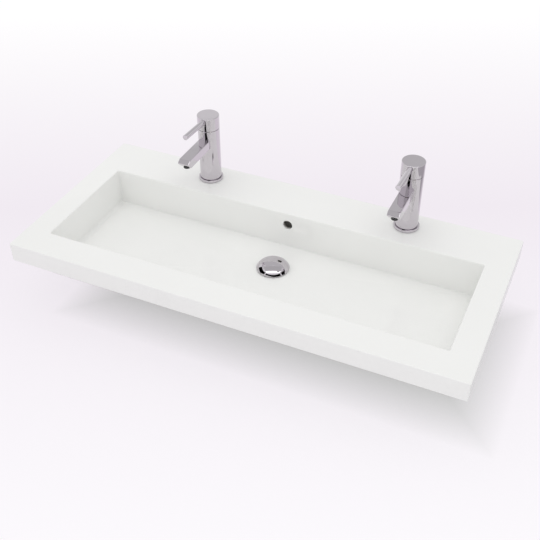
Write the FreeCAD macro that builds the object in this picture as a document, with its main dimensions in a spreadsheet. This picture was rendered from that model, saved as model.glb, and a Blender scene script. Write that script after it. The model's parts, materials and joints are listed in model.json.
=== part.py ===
import FreeCAD
import Part
import Sketcher

import math
import operator
import os

# Vanity basin: a rectangular white casting with a wide bowl, a press-to-close waste and two lever taps.
# Frame: +X along the wall, +Y towards the wall, +Z up, in millimetres. The origin is at the middle of the
# back edge, level with the underside of the apron, where the basin rests on its cabinet.

SIZES = {
    # Basin casting
    "basin_length": 1000.0,
    "basin_width": 460.0,
    "apron_height": 45.0,
    "apron_wall": 15.0,
    "deck_thickness": 15.0,
    "side_rim": 57.0,
    "front_rim": 68.0,
    "back_deck": 116.5,
    "bowl_depth": 87.0,
    "bowl_draft": 2.0,
    "bowl_wall": 12.0,
    "bowl_corner_radius": 4.0,
    "bowl_floor_radius": 3.0,
    "floor_fall": 8.0,
    "floor_thickness": 12.0,
    "casting_edge_radius": 2.5,
    # Overflow
    "overflow_diameter": 22.0,
    "overflow_drop": 30.0,
    "channel_width": 40.0,
    "channel_depth": 16.0,
    "channel_wall": 8.0,
    # Waste
    "waste_setback": 197.0,
    "waste_hole_diameter": 46.0,
    "waste_boss_diameter": 78.0,
    "waste_flat_diameter": 84.0,
    "waste_flange_diameter": 64.0,
    "waste_flange_thickness": 2.5,
    "waste_seal_thickness": 1.0,
    "waste_tail_diameter": 41.91,
    "waste_tube_wall": 4.0,
    "waste_tail_length": 25.0,
    "waste_undercut_width": 1.5,
    "waste_undercut_depth": 1.0,
    "waste_slot_width": 14.0,
    "waste_slot_height": 12.0,
    "waste_bridge_width": 12.0,
    "waste_bridge_height": 6.0,
    "waste_bridge_gap": 2.0,
    "waste_washer_diameter": 60.0,
    "waste_lower_seal_thickness": 4.0,
    "waste_thrust_thickness": 2.0,
    "waste_backnut_flats": 56.0,
    "waste_backnut_height": 10.0,
    "waste_cap_diameter": 74.0,
    "waste_cap_thickness": 5.0,
    "waste_cap_crown": 13.0,
    "waste_cap_shoulder_diameter": 58.0,
    "waste_cap_shoulder_rise": 8.0,
    "waste_cap_shoulder_radius": 20.0,
    "waste_cap_edge_radius": 8.0,
    "waste_cap_gap": 0.5,
    "waste_cap_seal_diameter": 54.0,
    "waste_cap_seal_width": 4.0,
    "waste_cap_seal_depth": 1.5,
    "waste_cap_seal_stand": 0.3,
    "waste_cartridge_diameter": 16.0,
    "waste_cartridge_top_drop": 6.0,
    "waste_cartridge_screw_diameter": 8.0,
    "waste_stem_diameter": 8.0,
    "waste_stem_screw_length": 8.0,
    "waste_stem_reach": 22.0,
    "waste_spring_wall": 1.0,
    "waste_cup_floor": 2.0,
    # Taps on the deck
    "tap_pitch": 480.0,
    "tap_pair_offset": 14.0,
    "tap_setback": 51.0,
    "tap_hole_diameter": 35.0,
    "base_seal_thickness": 1.0,
    "base_seal_diameter": 52.0,
    "base_ring_diameter": 57.0,
    "base_ring_height": 5.5,
    "base_ring_edge_radius": 1.0,
    # Tap body
    "body_diameter": 50.0,
    "body_height": 134.0,
    "body_neck_diameter": 46.0,
    "body_neck_gap": 1.2,
    "inlet_diameter": 10.0,
    "inlet_depth": 14.0,
    "inlet_spread": 14.0,
    "inlet_forward": 4.0,
    "riser_diameter": 6.0,
    "chamber_diameter": 33.0,
    # Spout
    "spout_width": 27.0,
    "spout_height": 20.5,
    "spout_drop": 22.0,
    "spout_reach": 124.5,
    "spout_brow_reach": 115.0,
    "spout_nose_drop": 7.0,
    "spout_lip_reach": 122.0,
    "spout_chin_reach": 111.5,
    "spout_chin_rise": 10.2,
    "spout_edge_radius": 1.5,
    "spout_side_wall": 3.0,
    "spout_roof": 3.0,
    "spout_floor": 7.0,
    "spigot_diameter": 14.0,
    "spigot_length": 6.0,
    "spigot_bore": 10.0,
    "spout_root_wall": 5.0,
    "spout_nose_wall": 11.0,
    "aerator_reach": 107.0,
    "aerator_diameter": 16.0,
    "aerator_wall": 2.0,
    "aerator_lip": 0.8,
    "aerator_stand": 3.0,
    "aerator_depth": 6.0,
    "aerator_seal_thickness": 1.5,
    "aerator_insert_height": 4.0,
    # Cartridge
    "cartridge_base_flange": 6.0,
    "cartridge_base_spigot": 4.0,
    "cartridge_base_diameter": 29.0,
    "cartridge_outlet_setback": 5.0,
    "cartridge_outlet_floor": 2.5,
    "cartridge_window_diameter": 5.0,
    "cartridge_window_sill": 0.6,
    "port_seal_diameter": 9.6,
    "port_seal_thickness": 1.5,
    "housing_diameter": 30.0,
    "housing_bore": 24.5,
    "housing_top_thickness": 3.2,
    "housing_flange_diameter": 32.6,
    "fixed_disc_thickness": 4.0,
    "moving_disc_thickness": 4.0,
    "moving_disc_diameter": 18.0,
    "moving_disc_travel": 5.0,
    "driver_height": 4.0,
    "driver_wall": 1.6,
    "driver_play": 0.9,
    "cartridge_nut_height": 4.6,
    "cartridge_nut_diameter": 38.0,
    "cartridge_nut_bore": 22.0,
    "cartridge_nut_recess": 0.4,
    # Spindle and lever stem
    "spindle_diameter": 20.0,
    "spindle_flange_diameter": 23.6,
    "spindle_flange_thickness": 3.0,
    "spindle_lift_gap": 0.5,
    "spindle_slot_drop": 4.5,
    "spindle_ear_rise": 3.6,
    "pivot_rise": 0.6,
    "pivot_setback": 4.0,
    "pivot_diameter": 3.0,
    "pivot_length": 16.0,
    "stem_slot_width": 6.0,
    "stem_front": 5.0,
    "stem_rear": 8.0,
    "stem_eye_drop": 3.2,
    "stem_tail_thickness": 4.4,
    "stem_tail_play": 0.8,
    "stem_tail_lift": 0.8,
    "stem_square": 9.0,
    "stem_square_length": 12.0,
    "stem_shoulder_drop": 2.0,
    # Handle
    "seam_gap": 1.2,
    "cap_diameter": 50.5,
    "cap_height": 30.8,
    "cap_skirt_wall": 3.25,
    "cap_skirt_depth": 10.8,
    "cap_edge_radius": 2.5,
    "handle_lift": 20.0,
    "relief_margin": 1.0,
    "lever_diameter": 12.0,
    "lever_reach": 107.0,
    "lever_seat_reach": 23.0,
    "lever_rise": 3.0,
    "lever_seat_height": 22.0,
    "lever_edge_radius": 1.2,
    "lever_tenon_diameter": 6.0,
    "lever_tenon_length": 10.0,
    "grub_screw_diameter": 5.0,
    "grub_screw_length": 8.0,
    "grub_screw_seat_height": 16.8,
    "grub_socket_width": 2.5,
    "grub_socket_depth": 3.0,
    "index_plug_length": 4.0,
    "index_plug_sink": 0.2,
    # Fixing under the deck
    "stud_diameter": 8.0,
    "stud_setback": 10.0,
    "stud_depth": 12.0,
    "stud_drop": 60.0,
    "horseshoe_diameter": 48.0,
    "horseshoe_slot_width": 26.0,
    "horseshoe_slot_end": 3.5,
    "gasket_thickness": 3.0,
    "plate_thickness": 3.0,
    "mounting_nut_flats": 13.0,
    "mounting_nut_height": 8.0,
    # Clearances
    "seated_clearance": 0.05,
    "running_clearance": 0.05,
    "sliding_clearance": 0.2,
    "moving_gap": 0.3,
    "cut_margin": 2.0,
}

OPERATIONS = {"+": operator.add, "-": operator.sub, "*": operator.mul, "/": operator.truediv}
ACROSS = FreeCAD.Vector(1, 0, 0)
FULL_TURN = 360
QUARTER_TURN = 90
HEXAGON_HALF_ANGLE = 30
PLACE_TOLERANCE = 1e-4
LEAST_CUT_VOLUME = 1e-6


class Size:
    """A number together with the sheet formula that gives it."""

    def __init__(self, number, formula):
        self.number = number
        self.formula = formula

    def __add__(self, other):
        return joined(self, "+", other)

    def __radd__(self, other):
        return joined(other, "+", self)

    def __sub__(self, other):
        return joined(self, "-", other)

    def __rsub__(self, other):
        return joined(other, "-", self)

    def __mul__(self, other):
        return joined(self, "*", other)

    def __rmul__(self, other):
        return joined(other, "*", self)

    def __truediv__(self, other):
        return joined(self, "/", other)

    def __neg__(self):
        return joined(0, "-", self)


def as_size(amount):
    if isinstance(amount, Size):
        return amount
    return Size(float(amount), f"({float(amount)})")


def joined(left, sign, right):
    left = as_size(left)
    right = as_size(right)
    number = OPERATIONS[sign](left.number, right.number)
    return Size(number, f"({left.formula} {sign} {right.formula})")


def trigonometric(name, angle):
    """The sin, cos or tan of an angle in degrees."""
    angle = as_size(angle)
    return Size(getattr(math, name)(math.radians(angle.number)), f"{name}({angle.formula})")


def start_document():
    """Make the document and the sheet that holds its driving dimensions."""
    document = FreeCAD.newDocument("vanity_basin")
    sheet = document.addObject("Spreadsheet::Sheet", "sizes")
    for row, (alias, number) in enumerate(SIZES.items(), start=1):
        sheet.set(f"A{row}", alias)
        sheet.set(f"B{row}", str(number))
        sheet.setAlias(f"B{row}", alias)
    document.recompute()
    return document


class Sizes:
    """The sheet's sizes by name."""

    def __getattr__(self, alias):
        return Size(SIZES[alias], f"sizes.{alias}")


doc = start_document()
size = Sizes()
pieces = []


# Helpers: sketches, features and placing

def recompute():
    """Bring the document up to date, and stop if one of its objects failed."""
    doc.recompute()
    for item in doc.Objects:
        if "Invalid" in item.State or "Error" in item.State:
            raise RuntimeError(f"{item.Name} of {item.Label}: {item.State}")


def bind(thing, prop, amount):
    thing.setExpression(prop, as_size(amount).formula)


def place(piece, x, y, z):
    for axis, amount in zip("xyz", (x, y, z)):
        bind(piece, f"Placement.Base.{axis}", amount)


def new_body(label, spot=(0, 0, 0)):
    body = doc.addObject("PartDesign::Body", label)
    body.Label = label
    place(body, *spot)
    pieces.append(body)
    return body


def new_sketch(body, plane, lift=0):
    """A sketch on one of the body's own origin planes, lifted along that plane's normal."""
    support = next(item for item in body.Origin.OriginFeatures if item.Role == plane)
    sketch = body.newObject("Sketcher::SketchObject", "Sketch")
    sketch.AttachmentSupport = [(support, "")]
    sketch.MapMode = "FlatFace"
    bind(sketch, "AttachmentOffset.Base.z", lift)
    return sketch


def fix_point(sketch, geometry, vertex, point):
    for kind, amount in zip(("DistanceX", "DistanceY"), point):
        number = as_size(amount).number
        index = sketch.addConstraint(Sketcher.Constraint(kind, -1, 1, geometry, vertex, number))
        bind(sketch, f"Constraints[{index}]", amount)


def draw_polygon(sketch, corners):
    first = sketch.GeometryCount
    count = len(corners)
    spots = [FreeCAD.Vector(as_size(across).number, as_size(up).number, 0) for across, up in corners]
    for start, end in zip(spots, spots[1:] + spots[:1]):
        sketch.addGeometry(Part.LineSegment(start, end), False)
    for index, corner in enumerate(corners):
        before = first + (index - 1) % count
        sketch.addConstraint(Sketcher.Constraint("Coincident", before, 2, first + index, 1))
        fix_point(sketch, first + index, 1, corner)


def draw_rectangle(sketch, left, right, low, high):
    draw_polygon(sketch, [(left, low), (right, low), (right, high), (left, high)])


def draw_circle(sketch, diameter, across=0, up=0):
    radius = diameter / 2
    centre = FreeCAD.Vector(as_size(across).number, as_size(up).number, 0)
    circle = sketch.addGeometry(Part.Circle(centre, FreeCAD.Vector(0, 0, 1), radius.number), False)
    fix_point(sketch, circle, 3, (across, up))
    index = sketch.addConstraint(Sketcher.Constraint("Radius", circle, radius.number))
    bind(sketch, f"Constraints[{index}]", radius)


def draw_hexagon(sketch, flats):
    """A hexagon about the origin, with two of its flats square to the sketch's upright axis."""
    side = flats * trigonometric("tan", HEXAGON_HALF_ANGLE)
    half = flats / 2
    draw_polygon(sketch, [
        (side, 0), (side / 2, half), (-side / 2, half), (-side, 0), (-side / 2, -half), (side / 2, -half),
    ])


def extrude(kind, body, sketch, length, reverse=False, both_ways=False):
    """A Pad along the sketch's normal or a Pocket against it, or the other way round if reversed."""
    feature = body.newObject(f"PartDesign::{kind}", kind)
    feature.Profile = sketch
    bind(feature, "Length", length)
    feature.Reversed = reverse
    if both_ways:
        feature.SideType = "Symmetric"
    return feature


def revolve(body, profile):
    """Turn a closed outline of (radius, height) corners about the body's upright axis."""
    sketch = new_sketch(body, "XZ_Plane")
    draw_polygon(sketch, profile)
    feature = body.newObject("PartDesign::Revolution", "Revolution")
    feature.Profile = sketch
    feature.ReferenceAxis = (sketch, ["V_Axis"])
    feature.Angle = FULL_TURN
    return feature


def ring_profile(inner_diameter, outer_diameter, low, high):
    inner = inner_diameter / 2
    outer = outer_diameter / 2
    return [(inner, low), (outer, low), (outer, high), (inner, high)]


def disc_profile(diameter, low, high):
    return [(0, low), (diameter / 2, low), (diameter / 2, high), (0, high)]


def bore(body, diameter, start, depth, across=0, back=0, upward=False):
    """An upright round hole cut from the given height, downwards unless upward is set."""
    sketch = new_sketch(body, "XY_Plane", start)
    draw_circle(sketch, diameter, across, back)
    return extrude("Pocket", body, sketch, depth, reverse=upward)


def cross_bore(body, diameter, front, depth, height, forward=False):
    """A level round hole from the plane that lies this far in front of the axis, cut towards the back."""
    sketch = new_sketch(body, "XZ_Plane", front)
    draw_circle(sketch, diameter, 0, height)
    return extrude("Pocket", body, sketch, depth, reverse=forward)


def round_edges(body, radius, wanted):
    """Round those edges of the body, as it is so far, that the test accepts."""
    recompute()
    base = body.Tip
    names = [f"Edge{index}" for index, edge in enumerate(base.Shape.Edges, start=1) if wanted(edge)]
    if not names:
        raise RuntimeError(f"{body.Label}: no edge to round")
    fillet = body.newObject("PartDesign::Fillet", "Fillet")
    fillet.Base = (base, names)
    bind(fillet, "Radius", radius)
    return fillet


def near(number, amount):
    return abs(number - as_size(amount).number) < PLACE_TOLERANCE


def lies_at(edge, axis, amount):
    """Whether the whole edge lies in the plane where that coordinate has that amount."""
    low = getattr(edge.BoundBox, f"{axis}Min")
    high = getattr(edge.BoundBox, f"{axis}Max")
    return near(low, amount) and near(high, amount)


def is_circle(edge, diameter, height):
    if not isinstance(edge.Curve, Part.Circle):
        return False
    return near(edge.Curve.Radius, diameter / 2) and lies_at(edge, "Z", height)


# Places that more than one piece uses

bowl_left = -(size.basin_length / 2 - size.side_rim)
bowl_right = size.basin_length / 2 - size.side_rim
bowl_front = -(size.basin_width - size.front_rim)
bowl_back = -size.back_deck
draft_shift = size.bowl_depth * trigonometric("tan", size.bowl_draft)
floor_level = size.apron_height - size.bowl_depth
waste_level = floor_level - size.floor_fall
floor_under = waste_level - size.floor_thickness
channel_floor = floor_under - size.channel_depth
boss_under = channel_floor - size.channel_wall
waste_y = -size.waste_setback
tap_y = -size.tap_setback


def make_basin():
    """One casting: deck and apron, bowl with its falls, and the overflow channel behind and under it."""
    body = new_body("basin_shell")
    half_length = size.basin_length / 2
    inner_half = half_length - size.apron_wall
    deck_core = size.apron_height - size.deck_thickness / 2

    slab = new_sketch(body, "XY_Plane")
    draw_rectangle(slab, -half_length, half_length, -size.basin_width, 0)
    extrude("Pad", body, slab, size.apron_height)

    hollow = new_sketch(body, "XY_Plane")
    draw_rectangle(hollow, -inner_half, inner_half, size.apron_wall - size.basin_width, -size.apron_wall)
    extrude("Pocket", body, hollow, size.apron_height - size.deck_thickness, reverse=True)

    block = new_sketch(body, "XY_Plane", deck_core)
    draw_rectangle(block, bowl_left - size.bowl_wall, bowl_right + size.bowl_wall,
                   bowl_front - size.bowl_wall, bowl_back + size.bowl_wall)
    extrude("Pad", body, block, deck_core - floor_under, reverse=True)

    channel_front = bowl_back + size.bowl_wall
    channel_back = channel_front + size.channel_depth
    boss_back = channel_back + size.channel_wall
    boss = new_sketch(body, "YZ_Plane")
    draw_polygon(boss, [
        (boss_back, deck_core), (boss_back, boss_under), (waste_y, boss_under),
        (waste_y, floor_under + size.floor_thickness / 2),
        (channel_front - size.bowl_wall / 2, floor_under + size.floor_thickness / 2),
        (channel_front - size.bowl_wall / 2, deck_core),
    ])
    extrude("Pad", body, boss, size.channel_width + 2 * size.channel_wall, both_ways=True)

    waste_boss = new_sketch(body, "XY_Plane", floor_under + size.floor_thickness / 2)
    draw_circle(waste_boss, size.waste_boss_diameter, 0, waste_y)
    extrude("Pad", body, waste_boss, floor_under + size.floor_thickness / 2 - boss_under, reverse=True)

    opening = new_sketch(body, "XY_Plane", size.apron_height)
    draw_rectangle(opening, bowl_left, bowl_right, bowl_front, bowl_back)
    bowl = extrude("Pocket", body, opening, size.bowl_depth)
    bind(bowl, "TaperAngle", -size.bowl_draft)

    def is_bowl_corner(edge):
        box = edge.BoundBox
        rim_to_floor = near(box.ZMax, size.apron_height) and near(box.ZMin, floor_level)
        inside_x = abs(box.Center.x) < bowl_right.number
        inside_y = bowl_front.number < box.Center.y < bowl_back.number
        return rim_to_floor and inside_x and inside_y

    round_edges(body, size.bowl_corner_radius, is_bowl_corner)

    def is_floor_edge(edge):
        return lies_at(edge, "Z", floor_level)

    round_edges(body, size.bowl_floor_radius, is_floor_edge)

    floor_edge = new_sketch(body, "XY_Plane", floor_level)
    inset = draft_shift + size.bowl_floor_radius + size.cut_margin
    draw_rectangle(floor_edge, bowl_left + inset, bowl_right - inset, bowl_front + inset, bowl_back - inset)
    flat_edge = new_sketch(body, "XY_Plane", waste_level)
    flat_half = size.waste_flat_diameter / 2
    draw_rectangle(flat_edge, -flat_half, flat_half, waste_y - flat_half, waste_y + flat_half)
    falls = body.newObject("PartDesign::SubtractiveLoft", "Falls")
    falls.Profile = floor_edge
    falls.Sections = [flat_edge]
    falls.Ruled = True

    recess = size.waste_seal_thickness + size.waste_flange_thickness
    bore(body, size.waste_flange_diameter + 2 * size.moving_gap, waste_level, recess, 0, waste_y)
    bore(body, size.waste_hole_diameter, waste_level, waste_level - boss_under + size.cut_margin, 0, waste_y)

    overflow_level = size.apron_height - size.overflow_drop
    shaft_top = overflow_level + size.overflow_diameter / 2 + size.cut_margin
    shaft = new_sketch(body, "XY_Plane", shaft_top)
    half_channel = size.channel_width / 2
    draw_rectangle(shaft, -half_channel, half_channel, channel_front, channel_back)
    extrude("Pocket", body, shaft, shaft_top - channel_floor)
    duct = new_sketch(body, "XY_Plane", floor_under)
    draw_rectangle(duct, -half_channel, half_channel, waste_y, channel_back)
    extrude("Pocket", body, duct, size.channel_depth)
    overflow_start = size.cut_margin + size.bowl_wall - bowl_back
    overflow_depth = overflow_start + channel_front + size.channel_depth / 2
    cross_bore(body, size.overflow_diameter, overflow_start, overflow_depth, overflow_level)

    for tap_x in tap_places().values():
        bore(body, size.tap_hole_diameter, size.apron_height, size.deck_thickness + size.cut_margin,
             tap_x, tap_y)

    def is_outer_edge(edge):
        """The deck's outline, the rim of the bowl and the four upright corners, but not the tap holes."""
        if lies_at(edge, "Z", size.apron_height):
            return not is_circle(edge, size.tap_hole_diameter, size.apron_height)
        on_end = lies_at(edge, "X", -half_length) or lies_at(edge, "X", half_length)
        on_side = lies_at(edge, "Y", -size.basin_width) or lies_at(edge, "Y", 0)
        return on_end and on_side

    round_edges(body, size.casting_edge_radius, is_outer_edge)


def tap_places():
    """Where each tap's axis stands along the deck."""
    return {
        "left": size.tap_pair_offset - size.tap_pitch / 2,
        "right": size.tap_pair_offset + size.tap_pitch / 2,
    }


def make_waste():
    """The waste in its own frame: its axis upright, height 0 where the bowl's floor meets the cap."""
    spot = (0, waste_y, waste_level)
    flange_top = as_size(0)
    flange_under = -size.waste_flange_thickness
    recess_floor = flange_under - size.waste_seal_thickness
    casting_under = boss_under - waste_level
    seal_under = casting_under - size.waste_lower_seal_thickness
    washer_under = seal_under - size.waste_thrust_thickness
    nut_under = washer_under - size.waste_backnut_height
    tail_end = nut_under - size.waste_tail_length
    tube_bore = size.waste_tail_diameter - 2 * size.waste_tube_wall
    thread_hole = size.waste_tail_diameter + 2 * size.seated_clearance

    flange = new_body("waste_flange", spot)
    tail_radius = size.waste_tail_diameter / 2
    neck_radius = tail_radius - size.waste_undercut_depth
    neck_under = nut_under - size.waste_undercut_width
    revolve(flange, [
        (tube_bore / 2, tail_end), (tail_radius, tail_end), (tail_radius, neck_under),
        (neck_radius, neck_under), (neck_radius, nut_under), (tail_radius, nut_under),
        (tail_radius, flange_under), (size.waste_flange_diameter / 2, flange_under),
        (size.waste_flange_diameter / 2, flange_top), (tube_bore / 2, flange_top),
    ])
    channel_top = floor_under - waste_level
    slot_top = channel_top - (size.channel_depth - size.waste_slot_height) / 2
    slot = new_sketch(flange, "XZ_Plane")
    half_slot = size.waste_slot_width / 2
    draw_rectangle(slot, -half_slot, half_slot, slot_top - size.waste_slot_height, slot_top)
    extrude("Pocket", flange, slot, size.waste_flange_diameter, both_ways=True)
    bridge_top = channel_top - size.channel_depth - size.waste_bridge_gap
    bridge_under = bridge_top - size.waste_bridge_height
    bridge = new_sketch(flange, "YZ_Plane")
    half_bridge = size.waste_bridge_width / 2
    draw_rectangle(bridge, -half_bridge, half_bridge, bridge_under, bridge_top)
    extrude("Pad", flange, bridge, tube_bore + size.waste_tube_wall, both_ways=True)
    bore(flange, size.waste_cartridge_screw_diameter + 2 * size.seated_clearance, bridge_top,
         size.waste_bridge_height + size.cut_margin)

    revolve(new_body("waste_flange_seal", spot), ring_profile(
        size.waste_hole_diameter, size.waste_flange_diameter, recess_floor, flange_under))
    revolve(new_body("waste_lower_seal", spot), ring_profile(
        thread_hole, size.waste_washer_diameter, seal_under, casting_under))
    revolve(new_body("waste_thrust_washer", spot), ring_profile(
        thread_hole, size.waste_washer_diameter, washer_under, seal_under))
    nut = new_body("waste_backnut", spot)
    nut_sketch = new_sketch(nut, "XY_Plane", nut_under)
    draw_hexagon(nut_sketch, size.waste_backnut_flats)
    draw_circle(nut_sketch, thread_hole)
    extrude("Pad", nut, nut_sketch, size.waste_backnut_height)

    cap_under = size.waste_cap_gap
    cap_edge_top = cap_under + size.waste_cap_thickness
    shoulder_level = cap_edge_top + size.waste_cap_shoulder_rise
    cap = new_body("waste_cap", spot)
    revolve(cap, [
        (0, cap_under), (size.waste_cap_diameter / 2, cap_under), (size.waste_cap_diameter / 2, cap_edge_top),
        (size.waste_cap_shoulder_diameter / 2, shoulder_level),
        (0, cap_edge_top + size.waste_cap_crown),
    ])
    seal_inner = size.waste_cap_seal_diameter - 2 * size.waste_cap_seal_width
    groove = new_sketch(cap, "XY_Plane", cap_under)
    draw_circle(groove, size.waste_cap_seal_diameter + 2 * size.seated_clearance)
    draw_circle(groove, seal_inner - 2 * size.seated_clearance)
    extrude("Pocket", cap, groove, size.waste_cap_seal_depth, reverse=True)
    bore(cap, size.waste_stem_diameter + 2 * size.seated_clearance, cap_under, size.waste_stem_screw_length,
         upward=True)
    round_edges(cap, size.waste_cap_shoulder_radius,
                lambda edge: is_circle(edge, size.waste_cap_shoulder_diameter, shoulder_level))
    round_edges(cap, size.waste_cap_edge_radius,
                lambda edge: is_circle(edge, size.waste_cap_diameter, cap_edge_top))
    revolve(new_body("waste_cap_seal", spot), ring_profile(
        seal_inner, size.waste_cap_seal_diameter, cap_under - size.waste_cap_seal_stand,
        cap_under + size.waste_cap_seal_depth))

    cartridge_top = -size.waste_cartridge_top_drop
    stem_bore = size.waste_stem_diameter + 2 * size.running_clearance
    stem_end = -size.waste_stem_reach
    cup_floor = bridge_top + size.waste_cup_floor
    screw_radius = size.waste_cartridge_screw_diameter / 2
    cartridge_radius = size.waste_cartridge_diameter / 2
    revolve(new_body("waste_cartridge", spot), [
        (0, bridge_under), (screw_radius, bridge_under), (screw_radius, bridge_top),
        (cartridge_radius, bridge_top), (cartridge_radius, cartridge_top), (stem_bore / 2, cartridge_top),
        (stem_bore / 2, cup_floor), (0, cup_floor),
    ])
    revolve(new_body("waste_stem", spot), disc_profile(
        size.waste_stem_diameter, stem_end, cap_under + size.waste_stem_screw_length))
    spring_outer = size.waste_stem_diameter - 2 * size.moving_gap
    revolve(new_body("waste_spring", spot), ring_profile(
        spring_outer - 2 * size.waste_spring_wall, spring_outer, cup_floor, stem_end))


def make_tap(side, tap_x):
    """One tap in its own frame: its axis upright, height 0 on the deck, the spout towards -Y."""
    spot = (tap_x, tap_y, size.apron_height)

    def piece(name):
        return new_body(f"{side}_tap_{name}", spot)

    make_tap_base(piece)
    make_tap_body(piece("body"))
    make_spout(piece)
    make_cartridge(piece, side, spot)
    make_spindle(piece)
    make_handle(piece, spot)
    make_deck_fixing(piece)


def cartridge_levels():
    """Heights in the cartridge's stack, from the body's top down to the seat, and of the lever's pivot."""
    nut_top = size.body_height - size.cartridge_nut_recess
    nut_under = nut_top - size.cartridge_nut_height
    housing_roof = nut_under - size.housing_top_thickness
    spindle_flange_top = housing_roof - size.moving_gap
    spindle_under = spindle_flange_top - size.spindle_flange_thickness
    driver_top = spindle_under - size.spindle_lift_gap
    driver_under = driver_top - size.driver_height
    disc_under = driver_under - size.moving_disc_thickness
    fixed_under = disc_under - size.fixed_disc_thickness
    housing_under = fixed_under - size.cartridge_base_spigot
    return {
        "nut_top": nut_top, "nut_under": nut_under, "housing_roof": housing_roof,
        "spindle_flange_top": spindle_flange_top, "spindle_under": spindle_under,
        "driver_top": driver_top, "driver_under": driver_under, "disc_under": disc_under,
        "fixed_under": fixed_under, "housing_under": housing_under,
        "seat": housing_under - size.cartridge_base_flange,
        "pivot": size.body_height + size.pivot_rise,
    }


def inlet_places():
    return [(-size.inlet_spread / 2, -size.inlet_forward), (size.inlet_spread / 2, -size.inlet_forward)]


def make_tap_base(piece):
    """The base ring and the seal under it."""
    seal_top = size.base_seal_thickness
    ring_top = seal_top + size.base_ring_height
    ring_bore = size.body_neck_diameter + 2 * size.seated_clearance
    ring = piece("base_ring")
    revolve(ring, ring_profile(ring_bore, size.base_ring_diameter, seal_top, ring_top))
    round_edges(ring, size.base_ring_edge_radius,
                lambda edge: is_circle(edge, size.base_ring_diameter, ring_top))
    revolve(piece("base_seal"), ring_profile(
        size.tap_hole_diameter, size.base_seal_diameter, 0, seal_top))


def make_tap_body(body):
    """The body: a cylinder with the cartridge's chamber above and the inlets, risers and stud hole below."""
    levels = cartridge_levels()
    seat = levels["seat"]
    foot = size.base_seal_thickness
    shoulder = foot + size.base_ring_height + size.body_neck_gap
    radius = size.body_diameter / 2
    nut_radius = size.cartridge_nut_diameter / 2 + size.seated_clearance
    chamber_radius = size.chamber_diameter / 2
    revolve(body, [
        (0, foot), (size.body_neck_diameter / 2, foot), (size.body_neck_diameter / 2, shoulder),
        (radius, shoulder), (radius, size.body_height), (nut_radius, size.body_height),
        (nut_radius, levels["nut_under"]), (chamber_radius, levels["nut_under"]), (chamber_radius, seat),
        (0, seat),
    ])
    for across, back in inlet_places():
        bore(body, size.riser_diameter, seat, seat - foot, across, back)
        bore(body, size.inlet_diameter, foot, size.inlet_depth, across, back, upward=True)
    bore(body, size.stud_diameter + 2 * size.seated_clearance, foot, size.stud_depth, 0, size.stud_setback,
         upward=True)
    spout_axis = size.body_height - size.spout_drop - size.spout_height / 2
    cross_bore(body, size.spigot_diameter + 2 * size.seated_clearance, radius + size.cut_margin,
               radius + size.cut_margin - chamber_radius + size.cut_margin, spout_axis)


def make_spout(piece):
    """The flat spout with its spigot and waterway, and the aerator in its underside."""
    spout = piece("spout")
    top = size.body_height - size.spout_drop
    under = top - size.spout_height
    axis = top - size.spout_height / 2
    half_width = size.spout_width / 2
    root_radius = size.body_diameter / 2 + size.seated_clearance
    spigot_end = root_radius - size.spigot_length
    profile = new_sketch(spout, "YZ_Plane")
    draw_polygon(profile, [
        (-spigot_end, under), (-size.spout_chin_reach, under),
        (-size.spout_lip_reach, under + size.spout_chin_rise),
        (-size.spout_reach, top - size.spout_nose_drop), (-size.spout_brow_reach, top),
        (-spigot_end, top),
    ])
    extrude("Pad", spout, profile, size.spout_width, both_ways=True)

    def is_long_edge(edge):
        on_side = lies_at(edge, "X", half_width) or lies_at(edge, "X", -half_width)
        return on_side and not lies_at(edge, "Y", -spigot_end)

    round_edges(spout, size.spout_edge_radius, is_long_edge)
    saddle = new_sketch(spout, "XY_Plane", top + size.cut_margin)
    draw_circle(saddle, 2 * root_radius)
    extrude("Pocket", spout, saddle, size.spout_height + 2 * size.cut_margin)
    spigot = new_sketch(spout, "XZ_Plane", spigot_end)
    draw_circle(spigot, size.spigot_diameter, 0, axis)
    extrude("Pad", spout, spigot, size.spigot_length + size.cut_margin)
    channel_start = root_radius + size.spout_root_wall
    cross_bore(spout, size.spigot_bore, spigot_end, channel_start - spigot_end + size.cut_margin, axis,
               forward=True)
    channel = new_sketch(spout, "XZ_Plane", channel_start)
    half_channel = half_width - size.spout_side_wall
    draw_rectangle(channel, -half_channel, half_channel, under + size.spout_floor, top - size.spout_roof)
    extrude("Pocket", spout, channel, size.spout_reach - size.spout_nose_wall - channel_start, reverse=True)
    aerator_y = -size.aerator_reach
    bore(spout, size.aerator_diameter + 2 * size.seated_clearance, under, size.aerator_depth, 0, aerator_y,
         upward=True)
    aerator_bore = size.aerator_diameter - 2 * size.aerator_wall
    bore(spout, aerator_bore, under, size.spout_floor + size.cut_margin, 0, aerator_y, upward=True)

    seal_top = under + size.aerator_depth
    housing_top = seal_top - size.aerator_seal_thickness
    housing_under = under - size.aerator_stand
    lip_top = housing_under + size.aerator_lip

    def aerator_piece(name, profile):
        body = piece(name)
        revolve(body, profile)
        bind(body, "Placement.Base.y", tap_y + aerator_y)

    lip_radius = aerator_bore / 2 - size.aerator_lip
    aerator_piece("aerator_housing", [
        (lip_radius, housing_under), (size.aerator_diameter / 2, housing_under),
        (size.aerator_diameter / 2, housing_top), (aerator_bore / 2, housing_top),
        (aerator_bore / 2, lip_top), (lip_radius, lip_top),
    ])
    aerator_piece("aerator_insert", disc_profile(
        aerator_bore - 2 * size.seated_clearance, lip_top, lip_top + size.aerator_insert_height))
    aerator_piece("aerator_seal", ring_profile(aerator_bore, size.aerator_diameter, housing_top, seal_top))


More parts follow.
